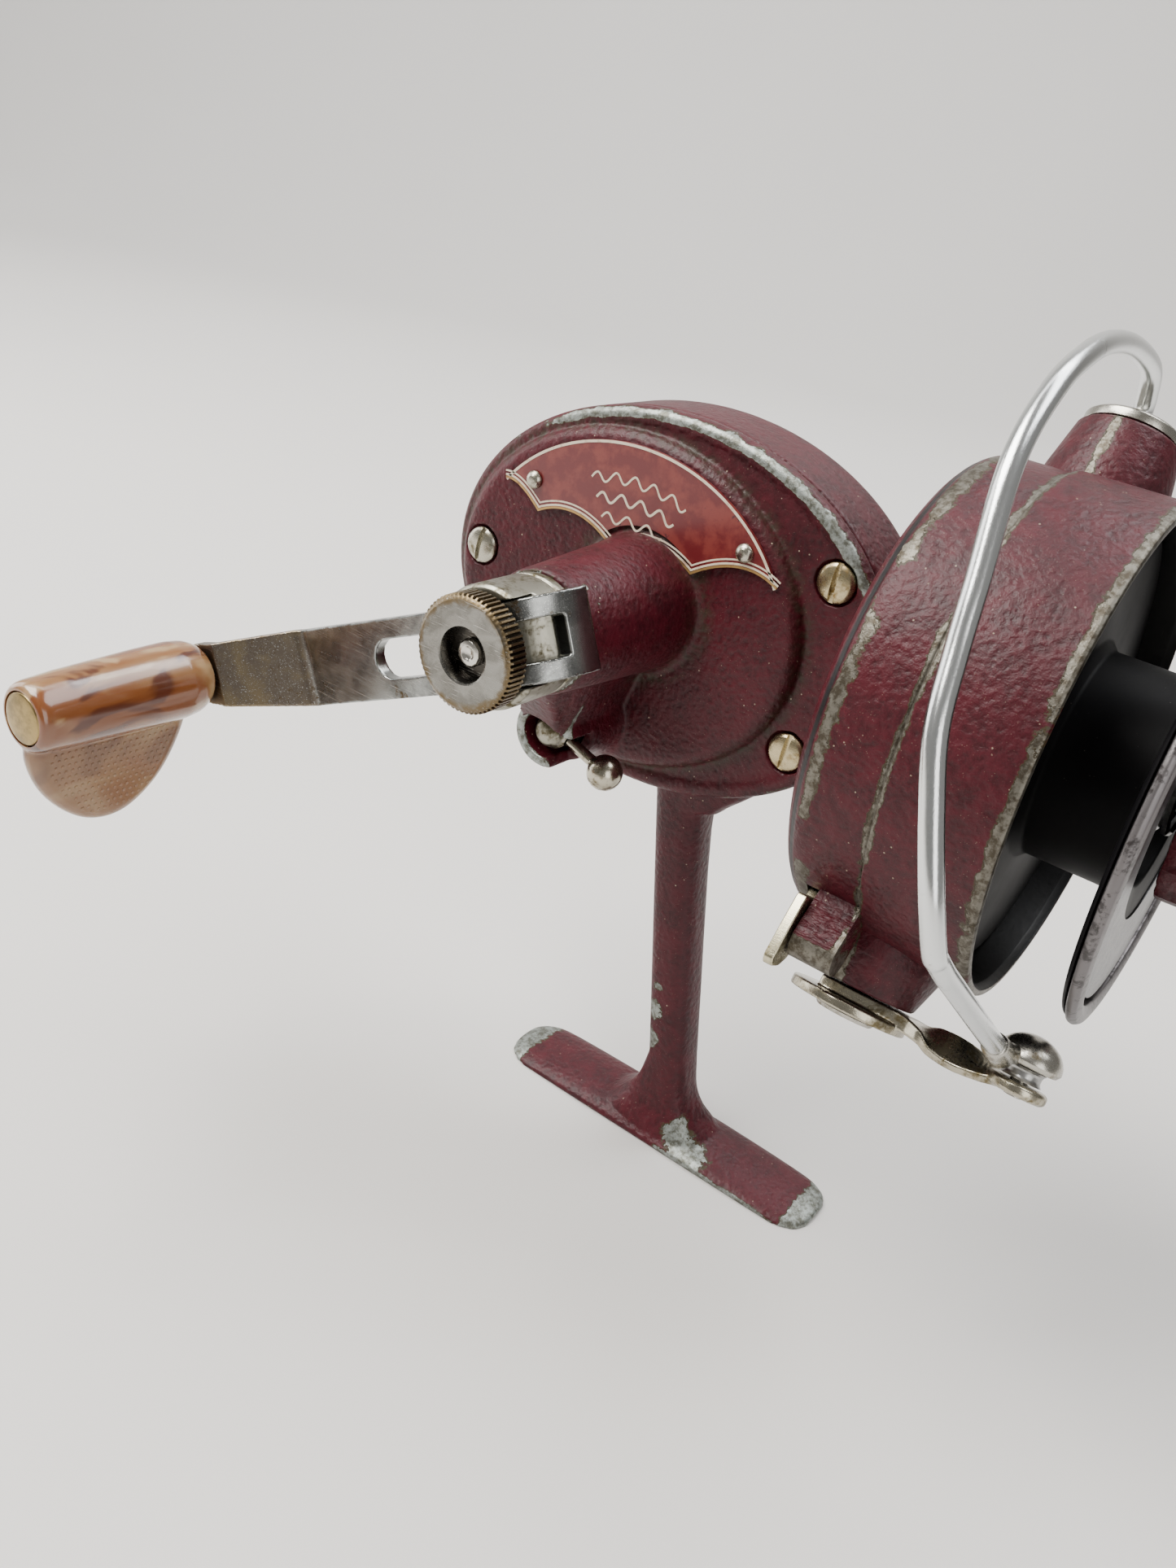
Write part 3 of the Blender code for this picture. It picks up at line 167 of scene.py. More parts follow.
class Look:
    """A Principled material and the values its nodes are built from."""

    def __init__(self, name, **fixed):
        self.material = bpy.data.materials.new(name)
        self.material.use_nodes = True
        self.tree = self.material.node_tree
        self.shader = self.tree.nodes["Principled BSDF"]
        for key, value in fixed.items():
            self.shader.inputs[key.replace("_", " ").title().replace("Ior", "IOR")].default_value = value
        coords = self.tree.nodes.new("ShaderNodeTexCoord").outputs["Object"]
        scale = self.tree.nodes.new("ShaderNodeVectorMath")
        scale.operation = "SCALE"
        scale.inputs["Scale"].default_value = 1 / MM
        self.tree.links.new(coords, scale.inputs[0])
        self.place = scale.outputs[0]
        parts = self.tree.nodes.new("ShaderNodeSeparateXYZ")
        self.tree.links.new(self.place, parts.inputs[0])
        self.x, self.y, self.z = (Value(self.tree, parts.outputs[i]) for i in range(3))

    def stretched(self, turn, scale):
        node = self.tree.nodes.new("ShaderNodeMapping")
        node.inputs["Rotation"].default_value = [math.radians(t) for t in turn]
        node.inputs["Scale"].default_value = scale
        self.tree.links.new(self.place, node.inputs["Vector"])
        return node.outputs[0]

    def noise(self, scale, detail=3.0, rough=0.5, twist=0.0, where=None, kind="FBM"):
        node = self.tree.nodes.new("ShaderNodeTexNoise")
        node.noise_type = kind
        self.tree.links.new(where or self.place, node.inputs["Vector"])
        for key, value in (("Scale", scale), ("Detail", detail), ("Roughness", rough), ("Distortion", twist)):
            node.inputs[key].default_value = value
        return Value(self.tree, node.outputs[0])

    def cells(self, scale, feature="F1", where=None, out="Distance"):
        node = self.tree.nodes.new("ShaderNodeTexVoronoi")
        node.feature = feature
        node.inputs["Scale"].default_value = scale
        self.tree.links.new(where or self.place, node.inputs["Vector"])
        return Value(self.tree, node.outputs[out])

    def ball(self, x, y, z, radius):
        """1 at a point, falling to 0 at the radius."""
        far = ((self.x - x).math("POWER", 2.0) + (self.y - y).math("POWER", 2.0)
               + (self.z - z).math("POWER", 2.0)).math("SQRT")
        return (1.0 - far / radius).high(0.0)

    def band(self, value, middle, half):
        """1 in the middle of a band, falling to 0 at its sides."""
        return (1.0 - abs(value - middle) / half).high(0.0)

    def mix(self, amount, first, second):
        node = self.tree.nodes.new("ShaderNodeMix")
        node.data_type = "RGBA"
        self.tree.links.new(amount.socket, node.inputs[0])
        for slot, item in ((node.inputs[6], first), (node.inputs[7], second)):
            if isinstance(item, Value):
                self.tree.links.new(item.socket, slot)
            else:
                slot.default_value = (*item, 1.0)
        return Value(self.tree, node.outputs[2])

    def set(self, key, value):
        self.tree.links.new(value.socket, self.shader.inputs[key])

    def bump(self, height, depth, strength=1.0):
        """Relief: height runs 0 to 1 over a depth in millimetres."""
        node = self.tree.nodes.new("ShaderNodeBump")
        node.inputs["Strength"].default_value = strength
        node.inputs["Distance"].default_value = depth * MM
        self.tree.links.new(height.socket, node.inputs["Height"])
        self.tree.links.new(node.outputs[0], self.shader.inputs["Normal"])


# ---------------------------------------------------------------- materials

MAROON = (0.058, 0.0026, 0.0078)
MAROON_PALE = (0.076, 0.0062, 0.0125)
MAROON_DARK = (0.024, 0.0012, 0.0034)
BARE = (0.30, 0.325, 0.305)
BARE_DULL = (0.105, 0.105, 0.085)
PRIMER = (0.040, 0.030, 0.014)
DUST = (0.40, 0.33, 0.24)


def castings(name, wear, darkened=None, wrinkle=None, metal=(BARE_DULL, BARE), inside_shade=None):
    """Pebbled maroon paint, chipped to bare alloy where wear says so."""
    look = Look(name, specular_ior_level=0.30)
    pebble = look.noise(1.25, 2.0, 0.5) * 0.55 + look.cells(1.15, "SMOOTH_F1") * 0.55
    fine = look.noise(4.5, 2.0, 0.6)
    patch = look.noise(0.06, 3.0)
    ragged = (look.noise(0.28, 4.0, 0.62) - 0.5) * 1.5 + (look.noise(1.5, 3.0, 0.6) - 0.5) * 0.55
    worn = wear(look) + ragged
    bare = worn.ramp(0.62, 0.66)
    border = worn.ramp(0.50, 0.57)
    specks = look.cells(0.8).ramp(0.12, 0.07) * look.noise(0.33, 4.0, 0.7).ramp(0.53, 0.60)
    dust = look.cells(2.4).ramp(0.18, 0.10) * look.noise(0.7, 3.0, 0.7).ramp(0.50, 0.58) * 0.3
    tone = (pebble * 0.7 + (patch - 0.5) * 0.7 + (fine - 0.5) * 0.6).ramp(0.10, 0.85)
    paint = look.mix(tone, MAROON_DARK, MAROON_PALE)
    paint = look.mix(look.noise(0.35, 3.0).ramp(0.35, 0.75), paint, MAROON)
    # a darker brown where the given mask says
    if darkened is not None:
        paint = look.mix(darkened(look) * look.noise(0.8, 4.0).ramp(0.3, 0.7), paint, (0.030, 0.022, 0.013))
    paint = look.mix((specks + dust).low(1.0) * 0.75, paint, DUST)
    paint = look.mix(border, paint, PRIMER)
    metal = look.mix(look.noise(0.9, 5.0, 0.7).ramp(0.36, 0.62), *metal)
    # painted shade: the inside of the rotor cup is made near-black
    if inside_shade is not None:
        paint = look.mix(inside_shade(look), paint, (0.004, 0.0035, 0.004))
    look.set("Base Color", look.mix(bare, paint, metal))
    look.set("Metallic", bare * 0.85)
    look.set("Roughness", look.noise(0.7, 3.0) * 0.14 + fine * 0.10 + 0.33)
    height = pebble * (1.0 - bare) + fine * 0.18 - bare * 0.45
    if wrinkle is not None:
        folds = look.noise(0.9, 2.0, 0.5, 1.0, look.stretched((50, 0, 0), (0.35, 1.0, 2.4)))
        height = height + wrinkle(look) * (1.0 - bare) * (folds - 0.5) * 2.0
    if inside_shade is not None:
        height = height * (1.0 - inside_shade(look) * 0.85)
    look.bump(height, 0.26, 0.9)
    return look.material


def ellipse_measure(look, centre, semi):
    u = (look.x - centre[0]) / semi[0]
    v = (look.z - centre[1]) / semi[1]
    return (u * u + v * v).math("SQRT")


def cover_wear(look):
    edge = ellipse_measure(look, (BODY_X, BODY_Z), (BODY_A, BODY_B))
    rim = look.band(edge, 0.968, 0.040) * 1.55
    window = look.z.ramp(103.0, 110.0) * look.x.ramp(-48.0, -38.0) * look.x.ramp(16.5, 13.0)
    low = look.band(edge, 0.985, 0.022) * 0.42
    mouth = look.band(look.y, -LEVER_MOUTH, 1.0) * look.z.ramp(82.5, 80.0) * 0.9
    web = look.ball(-19.4, -21.0, 74.0, 3.5) * 0.7
    boss = look.band(look.y, -BOSS_END, 0.9) * 0.62
    marks = look.ball(-16.4, -31.2, 102.0, 1.5).high(look.ball(-14.2, -30.4, 100.3, 1.3)) * 0.85
    spot = look.ball(6.4, -9.0, 110.0, 2.2) * 0.9
    return (rim * window).high(low).high(mouth).high(web).high(boss).high(marks).high(spot)


def cover_darkened(look):
    # Darker in the channel round the raised field and round the root of the crank boss.
    edge = ellipse_measure(look, *PLATEAU)
    channel = look.band(edge, 1.03, 0.06)
    root = look.band(((look.x - CRANK_X).math("POWER", 2.0) + (look.z - AXIS_Z).math("POWER",
                                                                                     2.0)).math("SQRT"),
                     11.8, 2.4) * look.y.ramp(-13.0, -10.0)
    return channel.high(root)


def casing_wear(look):
    rear = look.x.ramp(-24.5, -28.5) * look.z.ramp(5.0, 3.0) * 0.98
    front = look.x.ramp(27.0, 30.6) * look.z.ramp(5.0, 3.0) * 0.98
    side = look.ball(9.5, -7.0, 2.4, 7.4).high(look.ball(6.5, -5.0, 4.0, 4.6)) * 1.30
    long_edge = look.band(look.y, -7.4, 0.75) * look.z.ramp(3.0, 2.2) * look.x.ramp(-2.0, 8.0)
    stem = look.ball(-4.4, -4.3, 18.2, 4.0).high(look.ball(-4.6, -4.3, 24.4, 3.2)) * 1.5
    speck = look.ball(-4.6, -4.3, 29.0, 2.2) * 1.1
    return rear.high(front).high(side).high(long_edge).high(stem).high(speck)


def rotor_wear(look):
    """Rim, step and rear shoulder, each heavier on some stretches of the turn than on others."""
    spin = look.noise(0.05, 2.0)
    outer = ((look.y * look.y) + (look.z - AXIS_Z).math("POWER", 2.0)).math("SQRT").ramp(33.6, 34.2)
    rim = look.x.ramp(44.6, 47.3) * (look.noise(0.11, 2.0).ramp(0.38, 0.46) * 0.32 + 0.66)
    step = look.band(look.x, 32.2, 1.5) * (spin.ramp(0.36, 0.50) * 0.45 + 0.62)
    shoulder = look.band(look.x, 23.2, 2.6) * 0.95 * spin.ramp(0.42, 0.50)
    end = Vector((0, 0, AXIS_Z)) + LUG_OUT * 43.2
    reach = ((look.y - end.y) * LUG_OUT.y + (look.z - end.z) * LUG_OUT.z)
    lug = reach.ramp(-2.6, -1.0) * 1.5
    return (rim.high(step).high(shoulder) * outer).high(lug * look.x.ramp(33.0, 32.5))


def rotor_inside_shade(look):
    """The inside of the cup, painted near-black as shade."""
    far = ((look.y * look.y) + (look.z - AXIS_Z).math("POWER", 2.0)).math("SQRT")
    return far.ramp(34.05, 33.8) * look.x.ramp(21.0, 21.5)


def rotor_wrinkle(look):
    reach = look.y * LUG_OUT.y + (look.z - AXIS_Z) * LUG_OUT.z
    return reach.ramp(35.2, 36.2) * look.x.ramp(33.0, 32.4)


def plated(name, tint=(0.42, 0.405, 0.36), stain=(0.13, 0.10, 0.05), rough=0.26, turn=(0, 0, 0),
           grain=(0.25, 3.0, 3.0), stains=0.55, pits=0.5):
    """Worn nickel: fine scratches one way, a yellow-brown patina and dark pits."""
    look = Look(name, metallic=1.0)
    streak = look.noise(2.4, 3.0, 0.6, 0.0, look.stretched(turn, grain))
    cross = look.noise(2.8, 2.0, 0.6, 0.0, look.stretched((turn[0] + 35, turn[1] + 20, turn[2] + 50), grain))
    cloud = look.noise(0.22, 5.0, 0.65, 0.6)
    patina = (cloud + (look.noise(1.4, 4.0, 0.6) - 0.5) * 0.5).ramp(0.62 - stains * 0.2, 0.86 - stains * 0.2)
    pit = look.cells(1.9).ramp(0.16, 0.05) * look.noise(0.6, 2.0).ramp(0.5, 0.62) * pits
    colour = look.mix(patina, tint, stain)
    colour = look.mix(pit, colour, (0.035, 0.028, 0.018))
    look.set("Base Color", colour)
    look.set("Roughness", streak * 0.18 + patina * 0.20 + pit * 0.3 + (rough - 0.09))
    look.bump(streak * 0.5 + cross * 0.3 - pit * 1.2 + cloud * 0.4, 0.035, 0.55)
    return look.material


def arm_metal():
    """Scratched nickel, lighter as far as the bend and darker and browner past it: the lighter and darker
    halves are painted light and shade for the strip's two facings, and the brown is a tint.
    """
    look = Look("arm_nickel", metallic=1.0)
    reach = (look.x - CRANK_X) * ARM.x + (look.z - AXIS_Z) * ARM.z
    past = reach.ramp(ARM_BEND_AT - 0.6, ARM_BEND_AT + 0.4)
    streak = look.noise(2.6, 4.0, 0.65, 0.0, look.stretched((0, 25.5, 0), (0.10, 2.6, 2.6)))
    nicks = look.noise(2.4, 3.0, 0.65, 0.0, look.stretched((0, -32, 0), (0.12, 3.0, 3.0)))
    cloud = look.noise(0.20, 5.0, 0.62, 0.4)
    # painted light and shade: the section before the bend lighter, the section past it darker, for how each
    # facing takes the light; past the bend also a brown tint
    inner = look.mix(cloud.ramp(0.40, 0.62), (0.30, 0.31, 0.30), (0.17, 0.175, 0.17))
    outer = look.mix(cloud.ramp(0.35, 0.60), (0.215, 0.17, 0.105), (0.15, 0.125, 0.10))
    stain = (cloud + (look.noise(1.6, 4.0, 0.7) - 0.5) * 0.4).ramp(0.60, 0.72)
    colour = look.mix(stain, look.mix(past, inner, outer), (0.085, 0.060, 0.032))
    colour = look.mix((streak + nicks).ramp(1.12, 1.25), colour, (0.44, 0.44, 0.42))
    look.set("Base Color", colour)
    look.set("Roughness", streak * 0.16 + stain * 0.16 + past * 0.10 + 0.14)
    look.bump(streak * 0.5 + nicks * 0.4 + cloud * 0.5, 0.03, 0.5)
    return look.material


def nut_metal():
    """Grey nickel face with a brown edge, darker down between the knurls and in the bore."""
    look = Look("nut_nickel", metallic=1.0)
    far = ((look.x - CRANK_X).math("POWER", 2.0) + (look.z - AXIS_Z).math("POWER", 2.0)).math("SQRT")
    cloud = look.noise(0.35, 5.0, 0.65, 0.5)
    scratch = look.noise(2.6, 4.0, 0.65, 0.0, look.stretched((0, 40, 0), (0.12, 2.8, 2.8)))
    edge = (far + (cloud - 0.5) * 3.0).ramp(6.5, 7.5)
    colour = look.mix(cloud.ramp(0.35, 0.65), (0.25, 0.245, 0.225), (0.155, 0.15, 0.135))
    colour = look.mix(edge, colour, (0.135, 0.10, 0.055))
    # darker down in the knurl valleys, and a darker grey in the bore below
    valleys = look.band(far, 7.66, 0.17) * look.y.ramp(-49.25, -49.0)
    colour = look.mix(valleys.ramp(0.1, 0.7), colour, (0.018, 0.014, 0.009))
    colour = look.mix(far.ramp(3.9, 3.5), colour, (0.05, 0.046, 0.040))
    colour = look.mix((scratch + cloud * 0.3).ramp(0.76, 0.86), colour, (0.42, 0.41, 0.38))
    look.set("Base Color", colour)
    look.set("Roughness", scratch * 0.16 + edge * 0.10 + 0.18)
    look.bump(scratch * 0.6 + cloud * 0.5, 0.03, 0.5)
    return look.material


def plain_metal(name, tint, rough=0.3):
    look = Look(name, metallic=1.0)
    cloud = look.noise(0.5, 4.0, 0.6)
    streak = look.noise(3.5, 2.0)
    look.set("Base Color", look.mix(cloud.ramp(0.35, 0.7), tint, tuple(c * 0.55 for c in tint)))
    look.set("Roughness", streak * 0.2 + (rough - 0.1))
    look.bump(streak, 0.02, 0.5)
    return look.material


def marbled():
    """Cream, tan and brown swirls under a clear gloss."""
    look = Look("marbled_grip", coat_weight=0.6, coat_roughness=0.08, specular_ior_level=0.5,
                subsurface_weight=0.12, subsurface_scale=0.002)
    bands = look.noise(0.075, 2.0, 0.45, 1.4, look.stretched((0, 10, 24), (1.5, 0.62, 1.0)))
    swirl = look.noise(0.13, 2.0, 0.45, 1.9, look.stretched((0, 15, 12), (1.2, 0.55, 1.0)))
    colour = look.mix(bands.ramp(0.40, 0.58), (0.205, 0.100, 0.040), (0.150, 0.048, 0.013))
    colour = look.mix(swirl.ramp(0.54, 0.66), colour, (0.070, 0.018, 0.007))
    colour = look.mix((bands + swirl).ramp(0.86, 0.70), colour, (0.30, 0.195, 0.098))
    paddle = (KNOB.z - 4.6 - look.z).ramp(0.0, 3.0)
    colour = look.mix(paddle * 0.6, colour, (0.215, 0.118, 0.058))
    look.set("Base Color", colour)
    look.set("Roughness", look.noise(1.2, 3.0) * 0.12 + 0.16)
    look.bump(look.noise(0.9, 3.0), 0.03, 0.4)
    return look.material


def enamel():
    """Blotchy red enamel on the plate."""
    look = Look("plate_enamel", coat_weight=0.35, coat_roughness=0.15)
    blotch = look.noise(0.30, 6.0, 0.62, 0.15)
    speck = look.noise(2.5, 3.0)
    colour = look.mix(blotch.ramp(0.42, 0.62), (0.105, 0.009, 0.011), (0.165, 0.026, 0.021))
    colour = look.mix((blotch + (speck - 0.5) * 0.4).ramp(0.66, 0.76), colour, (0.055, 0.008, 0.012))
    look.set("Base Color", colour)
    look.set("Roughness", blotch * 0.25 + 0.22)
    look.bump(blotch * 0.6 + speck * 0.3, 0.05, 0.5)
    return look.material


def printed(name, light, dark, metallic=0.0):
    look = Look(name, metallic=metallic)
    wear = look.noise(0.8, 4.0, 0.6)
    look.set("Base Color", look.mix(wear.ramp(0.5, 0.75), light, dark))
    look.set("Roughness", wear * 0.3 + 0.25)
    look.bump(wear, 0.02, 0.4)
    return look.material


def black_gloss(name, dusty=0.4):
    look = Look(name, specular_ior_level=0.09)
    speck = look.cells(0.9).ramp(0.10, 0.03) * look.noise(0.7, 2.0).ramp(0.5, 0.6) * dusty
    haze = look.noise(0.12, 4.0)
    base = look.mix(haze.ramp(0.3, 0.8), (0.0025, 0.0024, 0.003), (0.006, 0.0055, 0.006))
    look.set("Base Color", look.mix(speck, base, (0.12, 0.11, 0.09)))
    look.set("Roughness", haze * 0.22 + 0.40)
    look.bump(look.noise(1.3, 3.0), 0.02, 0.35)
    return look.material


def worn_lip():
    """Black lacquer rubbed to grey metal round the flange."""
    look = Look("flange_lip")
    cloud = look.noise(0.35, 5.0, 0.65, 0.5)
    rubbed = (cloud + (look.noise(2.0, 3.0) - 0.5) * 0.3).ramp(0.38, 0.52)
    look.set("Base Color", look.mix(rubbed, (0.014, 0.010, 0.010), (0.155, 0.145, 0.148)))
    look.set("Metallic", rubbed * 0.9)
    look.set("Roughness", cloud * 0.3 + 0.24)
    look.bump(cloud + rubbed * 0.3, 0.04, 0.5)
    return look.material


def pale_floor():
    look = Look("pale_floor", specular_ior_level=0.2)
    cloud = look.noise(0.004, 3.0)
    look.set("Base Color", look.mix(cloud, (0.60, 0.585, 0.565), (0.64, 0.625, 0.605)))
    look.set("Roughness", cloud * 0.1 + 0.7)
    return look.material


# ---------------------------------------------------------------- mesh helpers

def axes_at(point, along, side=UP):
    """Local +Z along one direction and local +X as near as can be to another."""
    z = Vector(along).normalized()
    x = Vector(side) - z * Vector(side).dot(z)
    if x.length < 1e-6:
        x = z.orthogonal()
    x.normalize()
    turn = Matrix((x, z.cross(x), z)).transposed().to_4x4()
    return Matrix.Translation(Vector(point)) @ turn


def piece_from(name, mesh, angle=32):
    bmesh.ops.scale(mesh, vec=(MM, MM, MM), verts=mesh.verts)
    data = bpy.data.meshes.new(name)
    mesh.to_mesh(data)
    mesh.free()
    data.shade_smooth()
    data.set_sharp_from_angle(angle=math.radians(angle))
    piece = bpy.data.objects.new(name, data)
    bpy.context.scene.collection.objects.link(piece)
    return piece


def loft(name, rings, place=None, wrap=False, angle=32):
    """A closed skin over rings of equal count; the ends are capped, or joined when it wraps."""
    mesh = bmesh.new()
    loops = [[mesh.verts.new(Vector(p)) for p in ring] for ring in rings]
    count = len(loops[0])
    pairs = list(zip(loops, loops[1:]))
    if wrap:
        pairs.append((loops[-1], loops[0]))
    for low, high in pairs:
        for i in range(count):
            j = (i + 1) % count
            mesh.faces.new((low[i], low[j], high[j], high[i]))
    if not wrap:
        mesh.faces.new(loops[0][::-1])
        mesh.faces.new(loops[-1])
    bmesh.ops.remove_doubles(mesh, verts=mesh.verts, dist=1e-4)
    bmesh.ops.recalc_face_normals(mesh, faces=mesh.faces)
    if place is not None:
        bmesh.ops.transform(mesh, matrix=place, verts=mesh.verts)
    return piece_from(name, mesh, angle)


def circle(radius, z, count):
    return [(radius * math.cos(math.tau * i / count), radius * math.sin(math.tau * i / count), z)
            for i in range(count)]


def rounded(profile, radius, closed=False, steps=3):
    """The line with its corners eased to small curves."""
    out = []
    count = len(profile)
    for i, point in enumerate(profile):
        if not closed and i in (0, count - 1):
            out.append(tuple(point))
            continue
        here = Vector(point)
        back = Vector(profile[i - 1]) - here
        ahead = Vector(profile[(i + 1) % count]) - here
        ease = min(radius, back.length * 0.45, ahead.length * 0.45)
        if ease < 0.01 or back.angle(ahead, math.pi) > math.radians(168):
            out.append(tuple(point))
            continue
        first, last = here + back.normalized() * ease, here + ahead.normalized() * ease
        for k in range(steps + 1):
            t = k / steps
            out.append(tuple(first * (1 - t) ** 2 + here * 2 * t * (1 - t) + last * t ** 2))
    return out


def dense(profile, step, closed=False):
    """The line with extra points so that no run is longer than a step."""
    out = []
    pairs = list(zip(profile, profile[1:] + profile[:1]))
    for a, b in pairs if closed else pairs[:-1]:
        parts = max(1, math.ceil((Vector(b) - Vector(a)).length / step))
        out += [tuple(Vector(a).lerp(Vector(b), k / parts)) for k in range(parts)]
    return out if closed else out + [tuple(profile[-1])]


def turned(name, profile, point, along, count=96, wrap=False, side=UP, ease=0.15, step=None):
    """A turned piece: profile is a list of (distance along the axis, radius)."""
    line = rounded(profile, ease, wrap) if ease else list(profile)
    if step:
        line = dense(line, step, wrap)
    rings = [circle(max(r, 0.0), a, count) for a, r in line]
    return loft(name, rings, axes_at(point, along, side), wrap)


def tube(name, low, high, inner, outer, point, along, count=64, ease=0.15):
    profile = [(low, inner), (low, outer), (high, outer), (high, inner)]
    return turned(name, profile, point, along, count, True, ease=ease)


def block(name, low, high):
    outline = [(low[0], low[1]), (high[0], low[1]), (high[0], high[1]), (low[0], high[1])]
    return loft(name, [[(x, y, z) for x, y in outline] for z in (low[2], high[2])])


def prism(name, outline, low, high, point, along, side):
    return loft(name, [[(x, y, z) for x, y in outline] for z in (low, high)], axes_at(point, along, side))


def sweep(name, path, radii, sides=24):
    """A round bar along a path, its section carried without twist."""
    points = [Vector(p) for p in path]
    if not isinstance(radii, (list, tuple)):
        radii = [radii] * len(points)
    tangents = [(points[min(i + 1, len(points) - 1)] - points[max(i - 1, 0)]).normalized()
                for i in range(len(points))]
    normal = tangents[0].orthogonal().normalized()
    rings = []
    for point, tangent, radius in zip(points, tangents, radii):
        normal = (normal - tangent * normal.dot(tangent)).normalized()
        other = tangent.cross(normal)
        rings.append([point + normal * x + other * y for x, y, _ in circle(radius, 0.0, sides)])
    return loft(name, rings, angle=50)


def smooth_path(points, steps):
    """Points read from a Catmull-Rom curve through a given route."""
    knots = [Vector(p) for p in points]
    knots = [2 * knots[0] - knots[1]] + knots + [2 * knots[-1] - knots[-2]]
    path = []
    for i in range(1, len(knots) - 2):
        a, b, c, d = knots[i - 1:i + 3]
        for k in range(steps):
            t = k / steps
            path.append(0.5 * (2 * b + (c - a) * t + (2 * a - 5 * b + 4 * c - d) * t ** 2
                               + (3 * b - a - 3 * c + d) * t ** 3))
    path.append(knots[-2])
    return path


def smooth_rows(rows, steps):
    """The same curve through rows of any length."""
    rows = [list(r) for r in rows]
    width = len(rows[0])
    knots = [[2 * a - b for a, b in zip(rows[0], rows[1])]] + rows
    knots.append([2 * a - b for a, b in zip(rows[-1], rows[-2])])
    out = []
    for i in range(1, len(knots) - 2):
        a, b, c, d = knots[i - 1:i + 3]
        for k in range(steps):
            t = k / steps
            out.append([0.5 * (2 * b[j] + (c[j] - a[j]) * t + (2 * a[j] - 5 * b[j] + 4 * c[j] - d[j]) * t ** 2
                               + (3 * b[j] - a[j] - 3 * c[j] + d[j]) * t ** 3) for j in range(width)])
    out.append(rows[-1])
    return out


def baked(piece, angle=32):
    """The piece with its modifiers applied."""
    bpy.context.view_layer.update()
    graph = bpy.context.evaluated_depsgraph_get()
    data = bpy.data.meshes.new_from_object(piece.evaluated_get(graph))
    piece.modifiers.clear()
    piece.data = data
    data.shade_smooth()
    data.set_sharp_from_angle(angle=math.radians(angle))
    return piece


def combine(target, tools, operation):
    for tool in tools:
        step = target.modifiers.new(operation.title(), "BOOLEAN")
        step.operation = operation
        step.solver = "EXACT"
        step.object = tool
    baked(target)
    for tool in tools:
        bpy.data.objects.remove(tool)
    return target


def unite(target, *tools):
    return combine(target, tools, "UNION")


def cut(target, *tools):
    return combine(target, tools, "DIFFERENCE")


def soften(piece, voxel, passes=4, keep=1.0, angle=60):
    """Cast or worn edges: an even remesh, relaxed, then thinned where it is flat."""
    remesh = piece.modifiers.new("Even", "REMESH")
    remesh.mode = "VOXEL"
    remesh.voxel_size = voxel * MM
    relax = piece.modifiers.new("Relax", "SMOOTH")
    relax.factor = 0.5
    relax.iterations = passes
    if keep < 1.0:
        thin = piece.modifiers.new("Thin", "DECIMATE")
        thin.ratio = keep
    return baked(piece, angle)


def joined(name, pieces):
    """Several small pieces made into one mesh."""
    mesh = bmesh.new()
    for piece in pieces:
        mesh.from_mesh(piece.data)
        bpy.data.objects.remove(piece)
    data = bpy.data.meshes.new(name)
    mesh.to_mesh(data)
    mesh.free()
    data.shade_smooth()
    data.set_sharp_from_angle(angle=math.radians(40))
    piece = bpy.data.objects.new(name, data)
    bpy.context.scene.collection.objects.link(piece)
    return piece


def fit(piece, body, material, *nodes, slot=None):
    """Dress a piece, let it ride on its body and stand for its CAD nodes."""
    piece.data.materials.clear()
    piece.data.materials.append(material)
    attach(piece, body)
    for node in nodes:
        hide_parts(node)
    return piece


# ---------------------------------------------------------------- casing and cover

def oval(y, inset, centre=(BODY_X, BODY_Z), semi=(BODY_A, BODY_B), count=140):
    return [(centre[0] + (semi[0] - inset) * math.cos(math.tau * i / count), y,
             centre[1] + (semi[1] - inset) * math.sin(math.tau * i / count)) for i in range(count)]


def dome(start, inset, radius, steps=8):
    """Rings of the rounded far side, from the seam outward."""
    angles = (math.pi / 2 * i / steps for i in range(steps + 1))
    return [oval(start, inset)] + [oval(FAR_FLAT + radius * math.sin(t), inset + radius * (1 - math.cos(t)))
                                   for t in angles]


def stem_rings(count=48):
    stations = [(1.2, -11.0, 12.5, 6.6), (3.2, -9.0, 10.5, 6.0), (5.5, -6.6, 7.6, 5.0), (9.0, -4.9, 5.2, 4.4),
                (15.0, -4.0, 3.7, 4.0), (58.0, -13.2, -4.4, 4.0), (63.0, -14.4, -2.8, 4.0),
                (67.5, -16.0, 1.4, 4.1), (73.0, -19.0, 6.5, 4.1)]
    rings = []
    for z, low, high, half in smooth_rows(stations[:5], 4)[:-1] + smooth_rows(stations[4:], 4):
        ring = []
        for i in range(count):
            t = math.tau * (i + 0.5) / count
            c, s = math.cos(t), math.sin(t)
            swell = (abs(c) ** 3 + abs(s) ** 3) ** (-1 / 3)
            ring.append(((low + high) / 2 + (high - low) / 2 * c * swell, half * s * swell, z))
        rings.append(ring)
    return rings


def foot_rings():
    stations = [(-31.0, 2.2, 1.0), (-30.4, 4.4, 1.3), (-28.6, 6.2, 1.6), (-25.0, 7.3, 1.9), (-12.0, 7.5, 2.7),
                (2.0, 7.5, 3.0), (15.0, 7.5, 2.7), (27.0, 7.3, 1.9), (30.6, 6.2, 1.6), (32.4, 4.4, 1.3),
                (33.0, 2.2, 1.0)]
    rings = []
    for x, half, height in smooth_rows(stations, 4):
        edge = 0.3 * height
        ring = [(x, half, 0.0), (x, half, edge)]
        for i in range(15):
            t = math.pi * (i + 1) / 16
            ring.append((x, half * 0.94 * math.cos(t), edge + 0.7 * height * math.sin(t)))
        rings.append(ring + [(x, -half, edge), (x, -half, 0.0)])
    return rings


